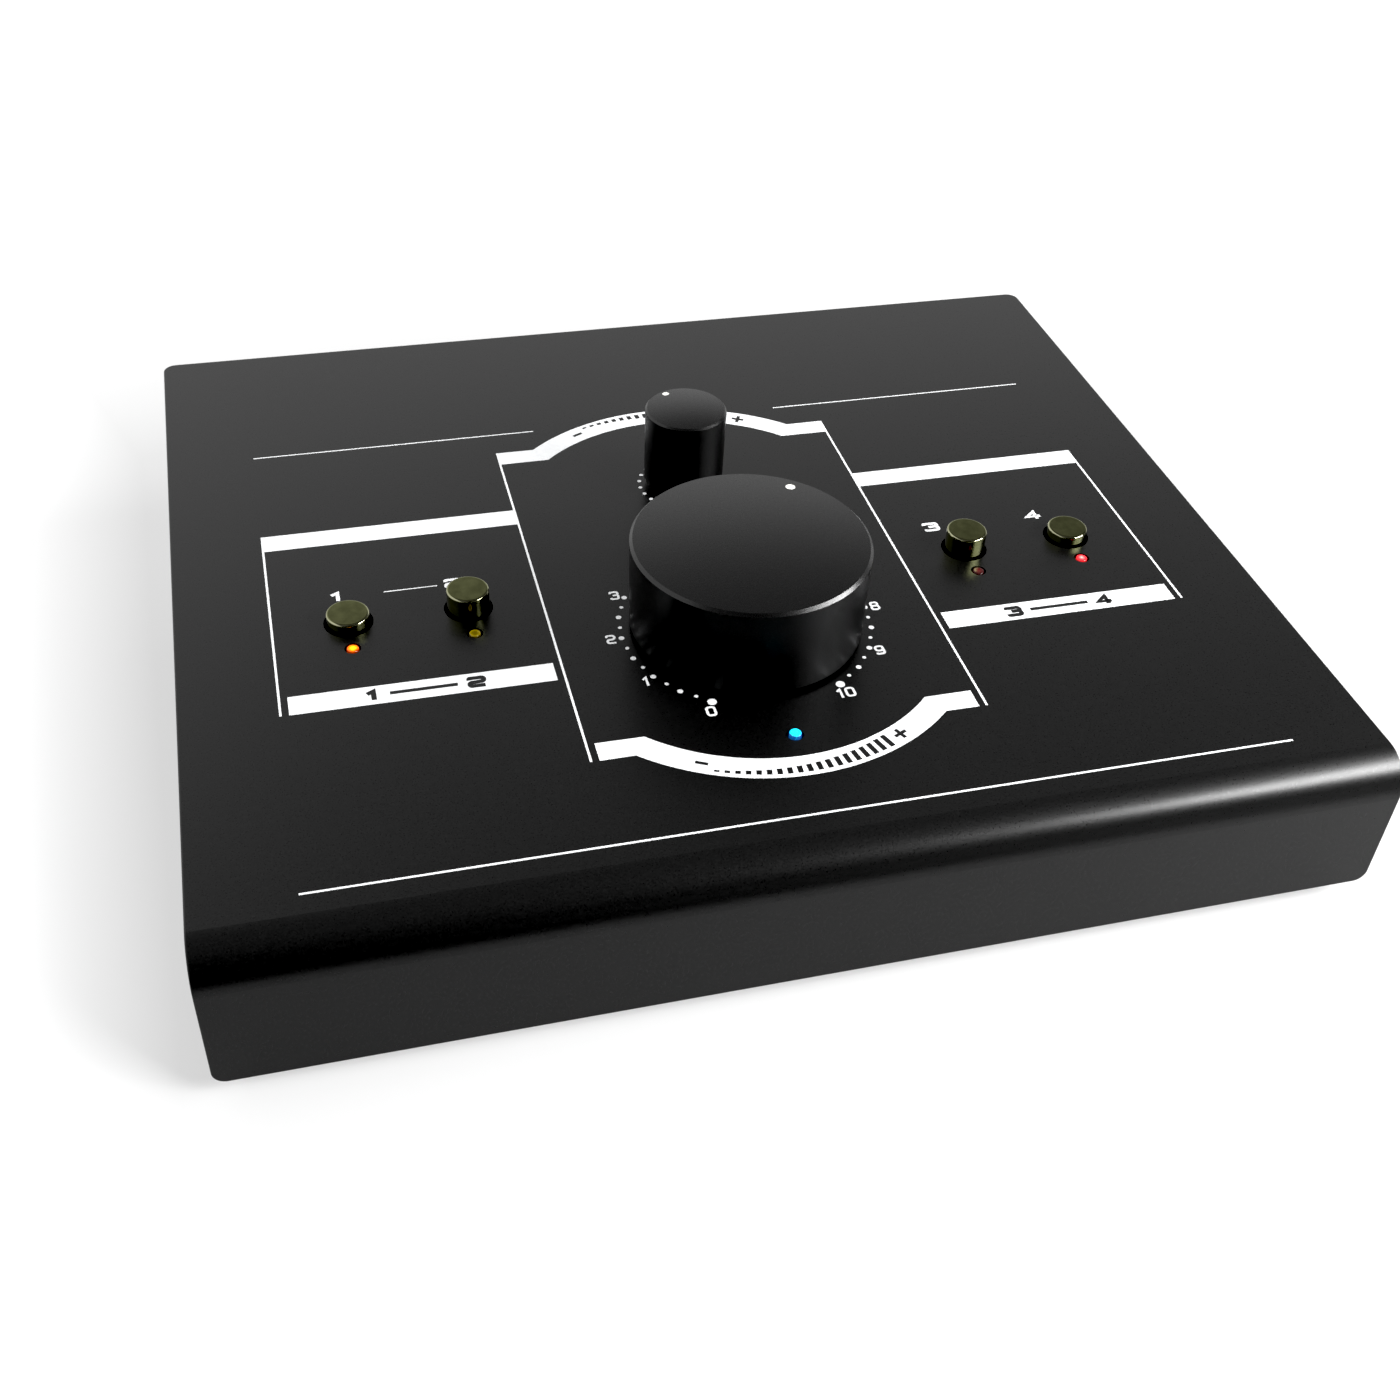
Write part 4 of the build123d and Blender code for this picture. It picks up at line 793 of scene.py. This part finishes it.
def only_lights(lamp, sheet):
    """Keeps a lamp's light to the sheet."""
    reach = bpy.data.collections.new(lamp.name + "_reach")
    reach.objects.link(sheet)
    reach.collection_objects[0].light_linking.link_state = "INCLUDE"
    lamp.light_linking.receiver_collection = reach


def studio(paper):
    """A bright wall behind and at the left, a strip close to the right corner, a soft ceiling.

    One more lamp lights the paper alone, and past the paper the camera sees plain white.
    """
    softbox("key_strip", *KEY_STRIP)
    fill = softbox("top_fill", *TOP_FILL)
    side = softbox("floor_fill", *FLOOR_FILL)
    fill.visible_glossy = side.visible_glossy = False
    only_lights(side, paper)
    world = bpy.data.worlds.new("studio")
    world.use_nodes = True
    sky = {"tree": world.node_tree}
    split = node(sky, "ShaderNodeSeparateXYZ")
    link(sky, node(sky, "ShaderNodeTexCoord").outputs["Generated"], split.inputs["Vector"])
    left = math(sky, "MAXIMUM", math(sky, "MULTIPLY", split.outputs["X"], -WALL_WRAP), 0)
    right = math(sky, "MINIMUM", math(sky, "MULTIPLY", split.outputs["X"], -WALL_TURN), 0)
    behind = math(sky, "ADD", split.outputs["Y"], math(sky, "ADD", left, right))
    turn = math(sky, "ARCTAN2", split.outputs["Z"], behind)
    level = ramp(sky, math(sky, "DIVIDE", turn, pi), [(at, grey(value)) for at, value in SKY])
    room = world.node_tree.nodes["Background"]
    link(sky, level, room.inputs["Color"])
    backdrop = node(sky, "ShaderNodeBackground")
    backdrop.inputs["Color"].default_value = (1, 1, 1, 1)
    mix = node(sky, "ShaderNodeMixShader")
    link(sky, node(sky, "ShaderNodeLightPath").outputs["Is Camera Ray"], mix.inputs["Fac"])
    link(sky, room.outputs["Background"], mix.inputs[1])
    link(sky, backdrop.outputs["Background"], mix.inputs[2])
    link(sky, mix.outputs["Shader"], world.node_tree.nodes["World Output"].inputs["Surface"])
    bpy.context.scene.world = world


def film():
    """Plain tones, with the deepest shadows taken as black."""
    view = bpy.context.scene.view_settings
    view.view_transform = "Standard"
    view.use_curve_mapping = True
    view.curve_mapping.black_level = (BLACK_POINT,) * 3
    view.curve_mapping.update()


def flat(name, x, y0, y1, z, look):
    """A level sheet of the studio at height z, from -x to x and from y0 to y1."""
    data = bpy.data.meshes.new(name)
    data.from_pydata([(-x, y0, z), (x, y0, z), (x, y1, z), (-x, y1, z)], [], [(0, 1, 2, 3)])
    data.materials.append(look)
    made = bpy.data.objects.new(name, data)
    bpy.context.scene.collection.objects.link(made)
    return made


def floor():
    """The paper, and a black card that only shows in reflections: painted dark reflections."""
    paper = flat("floor", PAPER_REACH, -PAPER_REACH, PAPER_REACH, 0.0, floor_paper())
    card = flat("black_card", CARD_REACH, -CARD_REACH, CARD_START, CARD_HEIGHT, card_black())
    card.visible_camera = card.visible_diffuse = card.visible_shadow = False
    return paper


def camera():
    data = bpy.data.cameras.new("camera")
    data.lens = LENS_MM
    data.sensor_width = SENSOR_MM
    made = bpy.data.objects.new("camera", data)
    made.location = CAMERA_PLACE
    made.rotation_euler = (radians(90 - CAMERA_DOWN), 0, radians(-CAMERA_TURN))
    bpy.context.scene.collection.objects.link(made)
    bpy.context.scene.camera = made


# ---- finishes of the CAD nodes ---------------------------------------------------------------
def dress():
    case = powder_coat("case_coat", 0.003, 0.4)
    screw = plated("black_oxide", grey(0.05), 0.38, (300, 300, 300), 0.15)
    zinc = plated("zinc_plate", (0.6, 0.6, 0.57), 0.32)
    nickel = plated("nickel_plate", (0.68, 0.66, 0.6), 0.24)
    turned = plated("turned_steel", (0.6, 0.59, 0.56), 0.26, (500, 60, 500))
    black = plastic("black_moulding", grey(0.02))
    fill = plastic("white_fill", (0.86, 0.85, 0.8), 0.4, 0.1)
    board = circuit_board()
    looks = {
        "top_cover": powder_coat("cover_coat", 0.004, 0.31),
        "base_tray": case, "rear_panel": case, "left_cover_rail": zinc,
        "right_cover_rail": zinc, "cover_studs": zinc, "rail_nuts": zinc,
        "side_screws": screw, "rear_panel_screws": screw, "foot_screws": screw,
        "rubber_feet": rubber(), "control_board": board, "main_board": board,
        "control_board_screws": zinc, "main_board_screws": zinc,
        "control_board_spacers": nickel, "main_board_spacers": nickel,
        "control_header": black, "main_header": black, "ribbon_cable": ribbon_cable(),
        "led_spacers": black, "line_jacks": black, "headphone_jack": black,
        "jack_nuts": nickel, "dc_inlet": black, "input_connector": nickel,
        "connector_insulators": black, "output_connector": nickel, "connector_screwlocks": nickel,
        "master_knob": knob_finish("master_black", 0, *MASTER_DOME),
        "headphone_knob": knob_finish("headphone_black", HEADPHONE_V, *HEADPHONE_DOME),
        "master_knob_pointer": fill, "headphone_knob_pointer": fill,
        "master_knob_screw": screw, "headphone_knob_screw": screw,
        "master_pot_body": zinc, "headphone_pot_body": zinc,
        "master_pot_shaft": turned, "headphone_pot_shaft": turned,
        "master_pot_nut": nickel, "headphone_pot_nut": nickel,
        "master_pot_washer": nickel, "headphone_pot_washer": nickel,
    }
    white = plastic("plunger_white", (0.78, 0.78, 0.75), 0.4)
    for name, u in zip(("active", "solo", "mute", "dim"), BUTTON_U):
        looks[name + "_cap"] = smoked_chrome("smoked_chrome_" + name, u, BUTTON_V)
        looks[name + "_plunger"] = white
        looks[name + "_switch"] = black
    looks["active_led"] = lamp("lamp_amber_lit", BUTTON_U[0], LED_V, [
        (0.0, (1.0, 0.85, 0.01)), (0.2, (1.0, 0.6, 0.0)), (0.45, (1.0, 0.25, 0.0)),
        (0.62, (0.8, 0.1, 0.0)), (0.72, (0.2, 0.02, 0.0))], 1.0)
    # Painted light: the two unlit lamps below glow faintly, the amber one brightest in a ring
    # near its edge.
    looks["solo_led"] = lamp("lamp_amber_off_painted_glow", BUTTON_U[1], LED_V, [
        (0.0, (0.09, 0.06, 0.004)), (0.35, (0.12, 0.09, 0.004)), (0.6, (0.26, 0.19, 0.006)),
        (0.75, (0.03, 0.02, 0.003))], 0.15)
    looks["mute_led"] = lamp("lamp_red_off_painted_glow", BUTTON_U[2], LED_V, [
        (0.0, (0.1, 0.01, 0.01)), (0.4, (0.06, 0.008, 0.008)), (0.85, (0.02, 0.005, 0.005))],
        0.1)
    looks["dim_led"] = lamp("lamp_red_lit", BUTTON_U[3], LED_V, [
        (0.0, (1.0, 0.4, 0.35)), (0.25, (1.0, 0.12, 0.12)), (0.5, (0.85, 0.02, 0.03)),
        (0.85, (0.2, 0.01, 0.01))], 1.2)
    looks["power_led"] = lamp("lamp_blue_lit", 0.0, POWER_V, [
        (0.0, (0.015, 0.9, 1.0)), (0.6, (0.01, 0.8, 1.0)), (0.66, (0.01, 0.45, 0.8)),
        (0.73, (0.01, 0.06, 0.22))], 1.0)
    for name, made in frame["nodes"].items():
        made.data.materials.clear()
        made.data.materials.append(looks[name])


dress()
white = white_ink()
black = black_ink()
print_bars(white)
print_lines(white)
print_dials(white)
print_button_numbers(white)
print_bar_marks(black)
print_rear(white)
studio(floor())
film()
camera()
